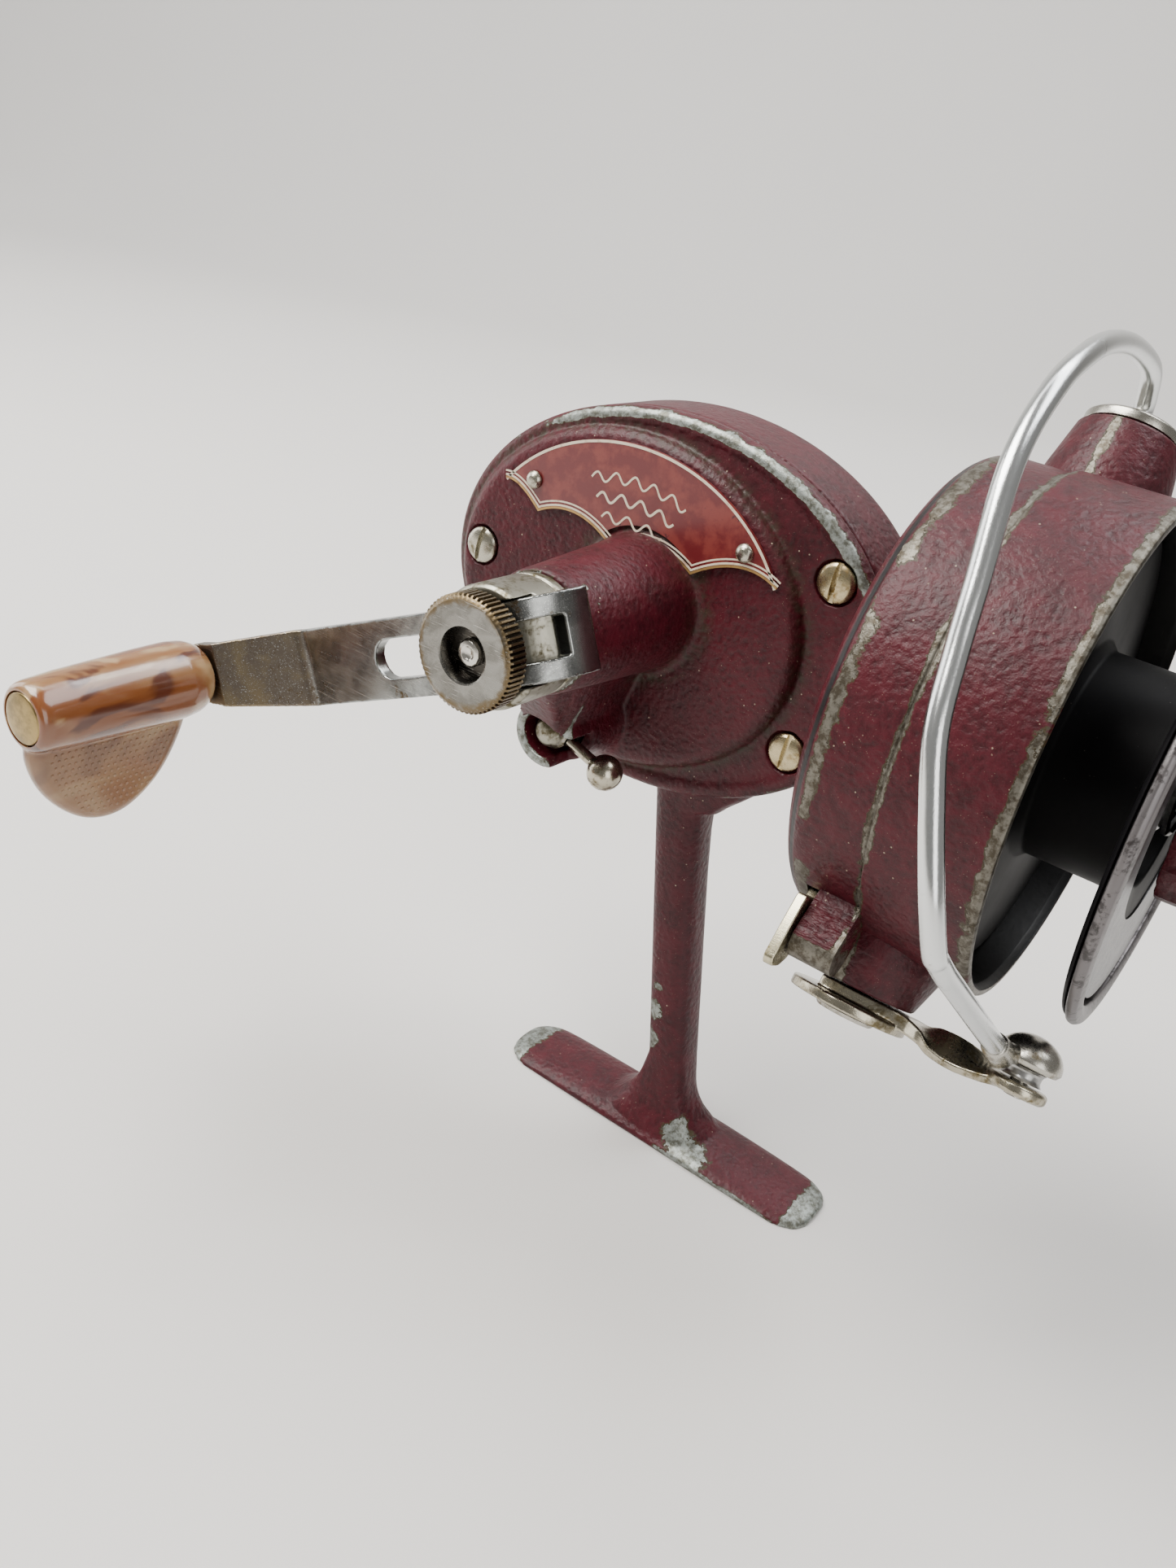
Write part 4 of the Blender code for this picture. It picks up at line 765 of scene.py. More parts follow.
def casing(paint):
    body = loft("casing", dome(SEAM_Y, 0.0, FAR_ROUND))
    hollow = loft("hollow", dome(SEAM_Y - 1, WALL, FAR_ROUND - WALL))
    unite(body, loft("stem", stem_rings()), loft("foot", foot_rings()))
    cut(body, hollow)
    saddle = block("saddle", (7.0, SEAM_Y, AXIS_Z - 7.5), (17.8, 10.6, AXIS_Z + 7.5))
    unite(body, saddle)
    cut(body, turned("bore", [(5.0, 5.3), (24.0, 5.3)], MAIN, FORWARD, 48, ease=0))
    soften(body, 0.42, 5, 0.5)
    return fit(body, "housing", paint, "body_housing", slot="maroon_paint")


def cover(paint):
    """Oval cover: a rolled rim, a channel, the raised field, the crank boss and the lever's lug."""
    rim = [(SEAM_Y - 0.3, 0.0), (-5.9, 0.0), (-6.7, 0.2), (-7.2, 0.75), (-7.4, 1.4), (-7.3, 2.1), (-7.0, 2.7),
           (COVER_FACE, 3.2)]
    body = loft("cover", [oval(y, inset) for y, inset in rim])
    field = [(-5.5, -0.9), (-7.1, -0.7), (-7.7, -0.45), (-8.3, -0.05), (-8.7, 0.5), (-8.93, 1.1),
             (PLATEAU_FACE, 1.9)]
    raised = loft("field", [oval(y, inset, *PLATEAU) for y, inset in field])
    combine(raised, [loft("trim", [oval(-12.0, 1.2), oval(-5.0, 1.2)])], "INTERSECT")
    boss = turned("boss", [(8.0, 11.8), (9.0, 11.4), (9.4, 10.9), (10.0, 10.55), (11.6, 10.3), (33.6, 8.9),
                           (BOSS_END, 8.6)], CRANK, OUTWARD, 96, ease=0.1, step=2.0)
    lug = turned("lug", [(8.0, 7.4), (9.2, 6.5), (10.4, 6.0), (12.0, 5.7), (21.6, 5.5), (LEVER_MOUTH, 5.2)],
                 LEVER, OUTWARD, 64, ease=0.1)
    web = [[(LEVER_X - w, y, LEVER_Z), (LEVER_X + w, y, LEVER_Z), (CRANK_X + w + 1, y, AXIS_Z - top),
            (CRANK_X - w - 1, y, AXIS_Z - top)] for y, w, top in ((-8.0, 4.2, 2.0), (-22.0, 3.6, 6.0),
                                                                  (-32.0, 1.4, 8.0))]
    web[2] = [(x, y, z + (12.0 if i < 2 else 0.0)) for i, (x, y, z) in enumerate(web[2])]
    unite(body, raised, boss, lug, loft("web", web))
    low, high = math.radians(-66), math.radians(12)
    fan = [(0.0, 0.0)] + [(9.0 * math.cos(low + (high - low) * i / 8),
                           9.0 * math.sin(low + (high - low) * i / 8))
                          for i in range(9)]
    notch = loft("notch", [[(LEVER_X + x, y, LEVER_Z + z) for x, z in fan] for y in (-24.0, -16.6)])
    tools = [notch,
             turned("gear_recess", [(3.5, 18.2), (7.5, 18.2)], CRANK, OUTWARD, 64, ease=0),
             turned("pawl_recess", [(3.5, 5.6), (7.5, 5.6)], LEVER, OUTWARD, 48, ease=0),
             turned("shaft_bore", [(3.0, BOSS_BORE), (40.0, BOSS_BORE)], CRANK, OUTWARD, 64, ease=0),
             turned("pin_bore", [(3.0, 2.5), (12.0, 2.5), (12.0, 3.8), (25.0, 3.8)], LEVER, OUTWARD, 48,
                    ease=0),
             turned("relief", [(-16.0, 5.4), (22.0, 5.4)], MAIN, FORWARD, 48, ease=0)]
    for name, (x, z) in COVER_SCREWS.items():
        face = -PLATEAU_FACE if name == "rear" else -COVER_FACE
        tools.append(turned("hole_" + name, [(3.0, 1.5), (face - 0.9, 1.5), (face - 0.9, 3.3), (14.0, 3.3)],
                            (x, 0, z), OUTWARD, 48, ease=0))
    cut(body, *tools)
    soften(body, 0.3, 4, 0.4)
    return fit(body, "housing", paint, "side_cover", slot="maroon_paint")


def cover_screw(name, x, z, look, turn):
    face = -PLATEAU_FACE if name == "rear" else -COVER_FACE
    seat = face - 0.6
    profile = [(seat - 9.0, 0.0), (seat - 9.0, 1.0), (seat - 8.6, 1.2), (seat, 1.2), (seat, 2.95),
               (seat + 0.65, 2.95), (seat + 1.05, 2.5), (seat + 1.3, 1.7), (seat + 1.42, 0.8),
               (seat + 1.45, 0.0)]
    screw = turned("screw_" + name, profile, (x, 0, z), OUTWARD, 64, ease=0.2)
    slot = prism("slot", [(-4, -0.42), (4, -0.42), (4, 0.42), (-4, 0.42)], seat + 0.55, seat + 3, (x, 0, z),
                 OUTWARD, turn)
    cut(screw, slot)
    return fit(screw, "housing", look, "cover_screw_" + name, slot="nickel")


def plate_arc(t):
    return (PLATE_CENTRE[0] + PLATE_SEMI[0] * math.cos(t), PLATE_CENTRE[1] + PLATE_SEMI[1] * math.sin(t))


def scallop(a, b, rise=0.16, steps=16):
    """A shallow arc between two cusps."""
    across = (b[0] - a[0], b[1] - a[1])
    line = []
    for i in range(steps):
        t = i / steps
        bow = 4 * rise * t * (1 - t)
        line.append((a[0] + across[0] * t + across[1] * bow, a[1] + across[1] * t + across[0] * bow))
    return line


def ribbon(name, line, near, far, low, high):
    """A flat strip beside a line of (x, z) points, raised off the plate from low to high."""
    points = [Vector(p) for p in line]
    rings = []
    for i, point in enumerate(points):
        back = (point - points[i - 1]).normalized() if i else None
        ahead = (points[i + 1] - point).normalized() if i < len(points) - 1 else None
        way = ((back or ahead) + (ahead or back)).normalized()
        normal = Vector((-way.y, way.x))
        slant = max(0.45, normal.dot(Vector((-(ahead or back).y, (ahead or back).x))))
        inner, outer = point + normal * near / slant, point + normal * far / slant
        rings.append([(inner.x, low, inner.y), (outer.x, low, outer.y), (outer.x, high, outer.y),
                      (inner.x, high, inner.y)])
    return loft(name, rings)


def name_plate(red, gold, cream):
    """Crescent plate with a printed border and three plain waves."""
    start, end = PLATE_SPAN
    upper = [plate_arc(start + (end - start) * i / 90) for i in range(91)]
    corners = [plate_arc(end)] + PLATE_CUSPS + [plate_arc(start)]
    lower = [p for a, b in zip(corners, corners[1:]) for p in scallop(a, b)] + [corners[-1]]
    face = PLATEAU_FACE - 0.7
    plate = loft("badge", [[(x, y, z) for x, z in upper[:-1] + lower[:-1]]
                           for y in (PLATEAU_FACE - 0.1, face)])
    holes = [turned("clearance", [(8.0, 11.7), (12.0, 11.7)], CRANK, OUTWARD, 96, ease=0)]
    holes += [turned("hole", [(8.0, 0.8), (12.0, 0.8)], (x, 0, z), OUTWARD, 24, ease=0)
              for x, z in RIVETS.values()]
    cut(plate, *holes)
    fit(plate, "housing", red, "name_plate", slot="red_enamel")
    fit(ribbon("badge_edge", lower, 0.0, 0.34, face + 0.02, face - 0.05), "housing", gold, slot="red_enamel")
    lines = [ribbon("line_a", lower, 0.42, 0.72, face + 0.02, face - 0.045),
             ribbon("line_b", lower, 1.05, 1.30, face + 0.02, face - 0.045),
             ribbon("line_top", upper[::-1], -0.42, -0.02, face + 0.02, face - 0.045)]
    middle, base = PLATE_CENTRE
    for k, (height, broad) in enumerate(WAVES):
        wave = []
        for i in range(WAVE_STEPS + 1):
            t = i / WAVE_STEPS
            x = middle + (t - 0.5) * (WAVE_LONG - WAVE_SHORTER * k)
            sag = 4.6 * ((x - middle) / 16.0) ** 2
            ripple = WAVE_RISE * math.sin(t * math.tau * (5 - k))
            wave.append((x, base + height - sag + ripple))
        lines.append(ribbon(f"wave_{k}", wave, -broad / 2, broad / 2, face + 0.02, face - 0.04))
    fit(joined("badge_lines", lines), "housing", cream, slot="red_enamel")


def rivets(look):
    for name, (x, z) in RIVETS.items():
        profile = [(7.8, 0.0), (7.8, 0.55), (9.8, 0.55), (9.8, 1.42), (10.15, 1.36), (10.5, 1.08),
                   (10.78, 0.6), (10.86, 0.0)]
        fit(turned("rivet_" + name, profile, (x, 0, z), OUTWARD, 40, ease=0.1), "housing", look,
            "plate_rivet_" + name, slot="nickel")


# ---------------------------------------------------------------- crank, arm and grip

def fork(look):
    """Crank shaft whose head is slotted for the arm; the slot's floor is round."""
    centre = ARM_OUT - CURL_R
    profile = [(4.6, 0.0), (4.6, 2.9), (7.5, 2.9), (7.5, 4.0), (34.3, 4.0), (34.3, HEAD_R), (44.7, HEAD_R),
               (45.2, HEAD_R - 0.5), (45.2, 0.0)]
    shaft = turned("fork", profile, CRANK, OUTWARD, 96, ease=0.1)
    lane = ARM_WIDE / 2 + 0.2
    reach = CURL_R - ARM_THICK - 0.3
    floor = [(reach * math.cos(math.pi * i / 32), centre + reach * math.sin(math.pi * i / 32))
             for i in range(33)]
    outline = [(14, centre), (14, 60), (-14, 60), (-14, centre)] + floor[::-1]
    slot = loft("lane", [[(x, -y, z) for x, y in outline] for z in (-lane, lane)],
                axes_at(CRANK, ARM_ACROSS, ARM))
    groove = tube("groove", 35.7, 36.2, HEAD_R - 0.35, HEAD_R + 2, CRANK, OUTWARD, 96, 0)
    hole = [(37.1, 0.0), (37.1, 1.7), (50.0, 1.7), (50.0, 0.0)]
    cut(shaft, turned("stud_hole", hole, CRANK, OUTWARD, 37, ease=0))
    cut(shaft, slot)
    cut(shaft, groove)
    soften(shaft, 0.16, 3, 0.5)
    return fit(shaft, "crank", look, "crank_shaft", slot="nickel")


def arm_section(length, outward, slope, half):
    """One cross-section of the strip: slope turns its outer face; past the bend it leans up to the knob."""
    lean = KNOB_LIFT * max(0.0, length - ARM_BEND_AT) / (KNOB_AT - ARM_BEND_AT)
    ring = []
    for depth, across in ((0, -half), (0, half), (ARM_THICK, half), (ARM_THICK, -half)):
        ring.append((length - depth * math.sin(slope), across - lean, outward - depth * math.cos(slope)))
    return ring


def crank_arm(look):
    centre = ARM_OUT - CURL_R
    half = ARM_WIDE / 2
    rings = []
    for i in range(25):
        t = math.radians(-86 + 86 * i / 24)
        rings.append(arm_section(CURL_R * math.sin(t), centre + CURL_R * math.cos(t), t, half))
    for i in range(5):
        t = i / 4
        rings.append(arm_section(ARM_BEND_AT - 0.9 + 1.8 * t, ARM_OUT + 0.62 * t * t, -ARM_BEND * t, half))
    tip = KNOB_AT + 4.3
    flat_from = KNOB_AT - 4.4
    for length, wide in ((flat_from, 4.7), (flat_from + 1.0, 4.6), (KNOB_AT - 1.0, 4.5), (KNOB_AT + 1.2, 4.1),
                         (KNOB_AT + 2.8, 3.3), (tip - 0.9, 2.3), (tip - 0.3, 1.2)):
        rise = (min(length, flat_from) - ARM_BEND_AT) * math.tan(ARM_BEND)
        slope = -ARM_BEND if length < flat_from + 0.5 else 0.0
        rings.append(arm_section(length, ARM_OUT + rise, slope, wide))
    arm = loft("arm", rings, axes_at(CRANK, OUTWARD, ARM))
    turns = [math.pi * (i / 16 - 0.5) for i in range(17)]
    window = [(-14, -SLOT_HALF)]
    window += [(SLOT_END - SLOT_HALF + SLOT_HALF * math.cos(t), SLOT_HALF * math.sin(t)) for t in turns]
    window.append((-14, SLOT_HALF))
    slot = prism("slot", window, centre + SLOT_FROM, 50.0, CRANK, OUTWARD, ARM)
    hole = turned("knob_hole", [(50.0, 1.9), (60.0, 1.9)], KNOB, OUTWARD, 40, ease=0)
    cut(arm, slot, hole)
    soften(arm, 0.2, 2, 0.4)
    return fit(arm, "arm", look, "crank_arm", slot="nickel")


def stud_and_nut(bright, worn):
    profile = [(37.2, 0.0), (37.2, 1.45), (47.4, 1.45), (47.4, 1.9), (48.0, 1.95), (48.45, 1.7), (48.6, 1.1),
               (48.35, 0.75), (48.05, 0.0)]
    fit(turned("stud", profile, CRANK, OUTWARD, 12, ease=0.05), "crank", bright, "handle_stud", slot="nickel")
    low, high = ARM_OUT + 0.3, ARM_OUT + 4.1
    ribs = 64
    ring = [(8.0 if k % 4 in (0, 1) else 7.66, math.tau * (k + (0.18 if k % 2 else -0.18)) / (4 * ribs))
            for k in range(4 * ribs)]
    outer = [[(min(r, cap) * math.cos(t), min(r, cap) * math.sin(t), z) for r, t in ring]
             for z, cap in ((low, 7.3), (low + 0.25, 7.65), (low + 0.5, 9), (high - 0.62, 9),
                            (high - 0.38, 7.78), (high - 0.14, 7.45), (high, 7.2))]
    inner = [[(r * math.cos(t), r * math.sin(t), z) for _, t in ring]
             for z, r in ((high, 4.0), (high - 0.1, 3.78), (high - 0.3, 3.68), (low + 1.4, 3.4),
                          (low + 1.4, 1.75), (low, 1.75))]
    nut = loft("thumb_nut", outer + inner, axes_at(CRANK, OUTWARD), wrap=True, angle=24)
    fit(nut, "thumb_nut", worn, "handle_nut", slot="nickel")


def inside(x, y, xs, ys):
    """Whether a point lies within an outline."""
    within = False
    for i in range(len(xs)):
        if (ys[i] > y) != (ys[i - 1] > y):
            if x < (xs[i - 1] - xs[i]) * (y - ys[i]) / (ys[i - 1] - ys[i]) + xs[i]:
                within = not within
    return within


def grip(look, brass):
    """Barrel grip blended into a teardrop paddle with rows of small bumps."""
    profile = [(KNOB_BASE, 0.0), (KNOB_BASE, 4.1), (KNOB_BASE + 0.5, 4.7), (KNOB_BASE + 2.0, 5.45),
               (KNOB_BASE + 4.5, 5.75), (KNOB_BASE + 10, 5.7), (KNOB_END - 6, 5.35), (KNOB_END - 1.2, 5.0),
               (KNOB_END - 0.3, 4.6), (KNOB_END, 4.1), (KNOB_END, 0.0)]
    barrel = turned("grip", profile, KNOB, OUTWARD, 96, ease=0.6, step=1.5)
    edge = smooth_path([(inward, drop, 0.0) for inward, drop in PADDLE], 10)
    middle, sink = PADDLE_MIDDLE
    rings = []
    for thick, scale in ((-1.45, 0.88), (-1.25, 0.94), (-0.8, 0.985), (0.0, 1.0), (0.8, 0.985), (1.25, 0.94),
                         (1.45, 0.88)):
        rings.append([(KNOB.x + thick, -KNOB_BASE - middle - scale * (p.x - middle),
                       KNOB.z + sink + scale * (p.y - sink)) for p in edge])
    unite(barrel, loft("paddle", rings))
    soften(barrel, 0.24, 8, 0.5)
    bore = turned("bore", [(50.0, 1.8), (KNOB_END - 1.6, 1.8), (KNOB_END - 1.6, 3.85), (90.0, 3.85)], KNOB,
                  OUTWARD, 64, ease=0)
    cut(barrel, bore)
    fit(barrel, "knob", look, "handle_knob", slot="marbled_plastic")
    bumps = []
    for row in range(13):
        drop = -5.2 - row * 0.94
        for k in range(26):
            inward = 2.0 + (k + 0.5 * (row % 2)) * 1.04
            if not inside(inward, drop, [middle + 0.78 * (p.x - middle) for p in edge],
                          [sink - 1.2 + 0.78 * (p.y - sink) for p in edge]):
                continue
            for side in (-1, 1):
                spot = (KNOB.x + side * 1.36, -KNOB_BASE - inward, KNOB.z + drop)
                bumps.append(turned("bump", [(-0.3, 0.0), (-0.3, 0.34), (0.0, 0.34), (0.16, 0.24),
                                             (0.23, 0.0)], spot,
                                    (side, 0, 0), 10, ease=0))
    fit(joined("grip_bumps", bumps), "knob", look, slot="marbled_plastic")
    pin = [(53.0, 0.0), (53.0, 1.6), (KNOB_END - 1.3, 1.6), (KNOB_END - 1.3, 3.7), (KNOB_END - 0.25, 3.7),
           (KNOB_END + 0.0, 3.5), (KNOB_END + 0.22, 2.4), (KNOB_END + 0.3, 0.0)]
    fit(turned("grip_cap", pin, KNOB, OUTWARD, 72, ease=0.12), "arm", brass, "knob_spindle", slot="brass")


# ---------------------------------------------------------------- anti-reverse lever

def anti_reverse(dull, bright):
    profile = [(4.9, 0.0), (4.9, 1.5), (7.7, 1.5), (7.7, 2.2), (12.6, 2.2), (12.6, 2.9), (19.8, 2.9),
               (20.2, 2.45), (20.9, 2.3), (21.5, 1.8), (21.8, 1.0), (21.9, 0.0)]
    spindle = turned("spindle", profile, LEVER, OUTWARD, 64, ease=0.25)
    rod = Vector((math.cos(LEVER_DROP), 0, -math.sin(LEVER_DROP)))
    start = Vector((LEVER_X, -18.6, LEVER_Z)) + rod * 1.4
    cut(spindle, turned("seat", [(0.0, 1.2), (2.6, 1.2)], start + rod * 0.4, rod, 32, ease=0))
    fit(spindle, "lever", dull, "anti_reverse_spindle", slot="nickel")
    length, radius = LEVER_REACH - 2.1, BALL_R
    ball = [(length - radius * math.cos(t), radius * math.sin(t)) for t in (math.radians(22 + 158 * i / 24)
                                                                           for i in range(25))]
    profile = [(0.0, 0.0), (0.0, 0.9), (ball[0][0] - 0.3, 0.92)] + ball
    fit(turned("lever", profile, start + rod * 0.7, rod, 48, ease=0.08), "lever", bright,
        "anti_reverse_lever", slot="nickel")


# ---------------------------------------------------------------- rotor and bail

def lug_point(x, out, side=0.0):
    return Vector((x, 0, AXIS_Z)) + LUG_OUT * out + LUG_SIDE * side


def rotor(paint):
    shoulder = [(ROTOR_BACK + 4.0 * (1 - math.sin(t)), ROTOR_R - 4.6 + 4.0 * math.cos(t))
                for t in (math.radians(90 - 11.25 * i) for i in range(9))]
    profile = [(ROTOR_BACK, 3.8)] + shoulder + [(31.9, 34.4), (32.15, 34.25), (32.4, 34.9), (32.7, ROTOR_R),
                                                (47.1, ROTOR_R), (47.5, 34.8), (ROTOR_RIM, 34.3),
                                                (ROTOR_RIM, 33.9), (46.4, 33.5), (24.4, 33.1), (22.0, 30.4),
                                                (22.0, 8.0), (27.0, 8.0), (27.0, 3.8)]
    body = turned("rotor", profile, MAIN, FORWARD, 192, True, ease=0.12, step=2.2)
    tools = []
    for sign, reach, tip in ((1, 43.3, 7.4), (-1, 41.0, 8.3)):
        boss = [(31.0, tip + 1.6), (36.0, tip + 1.4), (reach - 0.3, tip), (reach, tip - 0.3)]
        tools.append(turned("boss", boss, BAIL_CENTRE, PIVOT * sign, 96, side=FORWARD, ease=0.15, step=2.0))
    half = 2.9
    outline = [(32.0, -half)] + [(LUG_PIVOT + half * math.sin(t), -half * math.cos(t))
                                 for t in (math.pi * i / 20 for i in range(21))] + [(32.0, half)]
    tools.append(loft("trip_lug", [[lug_point(x, out, side) for out, side in outline]
                                   for x in (TRIP_X, TRIP_X + 6.2)]))
    unite(body, *tools)
    hollow = [(22.0, 8.0), (22.0, 30.4), (24.4, 33.1), (46.4, 33.5), (46.4, 8.0)]
    tools = [turned("hollow", hollow, MAIN, FORWARD, 192, True, ease=0, step=3.0)]
    for sign, depth, radius in ((1, 37.4, 2.6), (-1, 34.6, 5.2)):
        hole = [(30.0, 1.5), (depth, 1.5), (depth, radius), (46.0, radius)]
        tools.append(turned("pivot_hole", hole, BAIL_CENTRE, PIVOT * sign, 48, side=FORWARD, ease=0))
    corners = ((28.0, -2.3), (28.0, 2.3), (40.0, 2.3), (40.0, -2.3))
    tools.append(loft("slot", [[lug_point(x, out, side) for out, side in corners]
                               for x in (24.3, TRIP_X - 0.02)]))
    tools.append(turned("trip_hole", [(TRIP_X - 1.0, 1.1), (TRIP_X + 5.0, 1.1)], lug_point(0, LUG_PIVOT),
                        FORWARD, 24, ease=0))
    cut(body, *tools)
    return fit(body, "rotor", paint, "rotor_cup", slot="maroon_paint")


def trip(edge, pin_look):
    outline = rounded([(29.6, -1.3), (35.7, -1.5), (36.6, -4.9), (41.4, -4.1), (46.0, -3.1), (46.5, -2.0),
                       (45.4, 0.4), (43.4, 1.8), (LUG_PIVOT, 2.2), (29.6, 1.3)], 0.45, True)
    rings = [[lug_point(x, LUG_PIVOT + (out - LUG_PIVOT) * s, side * s) for out, side in outline]
             for x, s in ((24.7, 0.97), (24.85, 1.0), (25.95, 1.0), (26.1, 0.97))]
    lever = loft("trip_lever_fine", rings)
    cut(lever, turned("bore", [(24.0, 1.15), (27.0, 1.15)], lug_point(0, LUG_PIVOT), FORWARD, 32, ease=0))
    fit(lever, "trip", edge, "trip_lever", slot="nickel")
    profile = [(24.0, 0.0), (24.0, 1.2), (24.2, 1.5), (24.4, 1.5), (24.4, 0.95), (30.8, 0.95), (30.8, 0.0)]
    fit(turned("trip_pin_fine", profile, lug_point(0, LUG_PIVOT), FORWARD, 32, ease=0.12), "rotor", pin_look,
        "trip_pin", slot="nickel")


# Strip sections: distance forward, middle and thickness along the pivot, half width, twist in degrees
STRIP = [(-4.6, 42.5, 1.8, 1.6, 0.0), (-3.6, 42.4, 2.0, 3.2, 0.0), (3.0, 42.4, 2.2, 3.6, 0.0),
         (8.2, 42.5, 2.2, 3.4, 0.0), (10.6, 42.7, 1.9, 2.3, 12.0), (12.6, 42.8, 1.5, 2.6, 38.0),
         (16.0, 42.9, 1.4, 2.7, 44.0), (19.6, 43.0, 1.4, 2.4, 30.0), (22.0, 43.1, 1.5, 2.3, 8.0),
         (ROLLER_AT, 43.1, 1.5, 2.3, 0.0)]


def bail(plate, leaf_look, wire_look, dark):
    cap = [(38.0, 0.0), (38.0, 2.2), (43.6, 2.2), (43.6, 6.9), (44.8, 6.95), (45.2, 6.5), (45.3, 6.0),
           (45.3, 1.75), (44.0, 1.75), (44.0, 0.0)]
    fit(turned("bail_disc", cap, BAIL_CENTRE, PIVOT, 96, side=FORWARD, ease=0.15), "bail", plate, "bail_cap",
        slot="nickel")
    screw = [(32.0, 0.0), (32.0, 1.2), (41.4, 1.2), (41.4, 2.1), (44.9, 2.1), (44.9, 4.4), (45.5, 4.0),
             (45.5, 0.0)]
    head = turned("pivot_screw", screw, BAIL_CENTRE, -PIVOT, 64, side=FORWARD, ease=0.2)
    cut(head, prism("slot", [(-6, -0.45), (6, -0.45), (6, 0.45), (-6, 0.45)], 45.0, 47.0, BAIL_CENTRE, -PIVOT,
                    (1, 0.4, 0)))
    fit(head, "rotor", plate, "bail_pivot_screw", slot="nickel")
    root = tube("bail_root", 43.1, 44.6, 2.3, 8.5, BAIL_CENTRE, -PIVOT, 96, 0.3)
    rings = []
    for x, middle, thick, half, twist in smooth_rows(STRIP, 5):
        turn = math.radians(twist)
        ring = []
        for across, deep in rounded([(-half, -thick / 2), (half, -thick / 2), (half, thick / 2),
                                     (-half, thick / 2)],
                                    0.35, True):
            ring.append((x, across * math.cos(turn) - deep * math.sin(turn),
                         middle + across * math.sin(turn) + deep * math.cos(turn)))
        rings.append(ring)
    strip = loft("strip", rings, axes_at(BAIL_CENTRE, -PIVOT, FORWARD))
    seat_at = BAIL_CENTRE + Vector((ROLLER_AT, 0, 0))
    seat = turned("seat", [(42.2, 0.0), (42.2, 3.6), (42.6, 4.1), (43.6, 4.1), (44.0, 3.5), (44.0, 0.0)],
                  seat_at, -PIVOT, 64, ease=0.15)
    unite(root, strip, seat)
    bore = turned("seat_bore", [(40.0, 1.35), (46.0, 1.35)], seat_at, -PIVOT, 40, ease=0)
    pivot_bore = turned("pivot_bore", [(40.0, 2.4), (46.0, 2.4)], BAIL_CENTRE, -PIVOT, 40, ease=0)
    counter = turned("counter", [(44.0, 4.7), (47.0, 4.7)], BAIL_CENTRE, -PIVOT, 64, ease=0)
    cut(root, bore, pivot_bore, counter)
    soften(root, 0.16, 3, 0.45)
    fit(root, "bail", leaf_look, "bail_arm", slot="nickel")
    groove = [(40.1, 1.35), (40.1, 2.9), (40.4, 2.6), (40.7, 2.5), (41.3, 2.5), (41.6, 2.6), (41.9, 2.9),
              (41.9, 1.35)]
    fit(turned("roller", groove, seat_at, -PIVOT, 56, True, ease=0.1), "roller", dark, "line_roller",
        slot="steel")
    dome = [(39.3 - 3.6 * math.sin(t), 4.4 * math.cos(t)) for t in (math.radians(9 * i) for i in range(11))]
    post = [(44.3, 0.0), (44.3, 1.2), (39.95, 1.2), (39.95, 3.9)] + dome
    fit(turned("post", post, seat_at, -PIVOT, 64, ease=0.15), "bail", plate, "roller_post", slot="nickel")
    route = [(0.0, 44.4, 0.0), (0.0, 47.0, 0.0), (0.0, 49.2, 2.0), (0.2, 50.3, 8.0), (0.4, 46.1, 21.3),
             (0.6, 40.6, 32.3), (0.8, 34.9, 39.6), (1.0, 27.8, 45.4), (1.6, 17.8, 48.8), (4.0, 4.4, 49.0),
             (5.2, -2.8, 48.8), (7.0, -11.4, 48.7), (9.8, -19.0, 46.8), (13.0, -26.7, 44.2),
             (15.0, -31.9, 40.2), (15.4, -32.7, 38.2), (16.0, -33.6, 35.0)]
    path = smooth_path(route, 8)
    last, end = path[-1], Vector((21.3, -39.9, 4.6))
    path += [last.lerp(end, k / 12) for k in range(1, 13)]
    world = [BAIL_CENTRE + Vector((p[0], 0, 0)) + PIVOT * p[1] + LOOP * p[2] for p in path]
    fit(sweep("wire", world, 1.4, 32), "bail", wire_look, "bail_wire", slot="nickel")
    tail = world[-1]
    way = (world[-1] - world[-3]).normalized()
    sleeve = [tail - way * 4.6, tail - way * 4.2, tail - way * 2.0, tail + way * 0.2, tail + way * 0.6]
    socket = sweep("wire_socket", sleeve, [1.45, 1.75, 1.9, 1.9, 1.5], 32)
    head = seat_at - PIVOT * 38.6
    bridge = sweep("bridge", [tail - way * 1.6, tail.lerp(head, 0.5) - way * 0.6, head], [1.5, 1.35, 1.5], 24)
    unite(socket, bridge)
    soften(socket, 0.16, 3, 0.5)
    fit(socket, "bail", plate, slot="nickel")


# ---------------------------------------------------------------- spool and drag

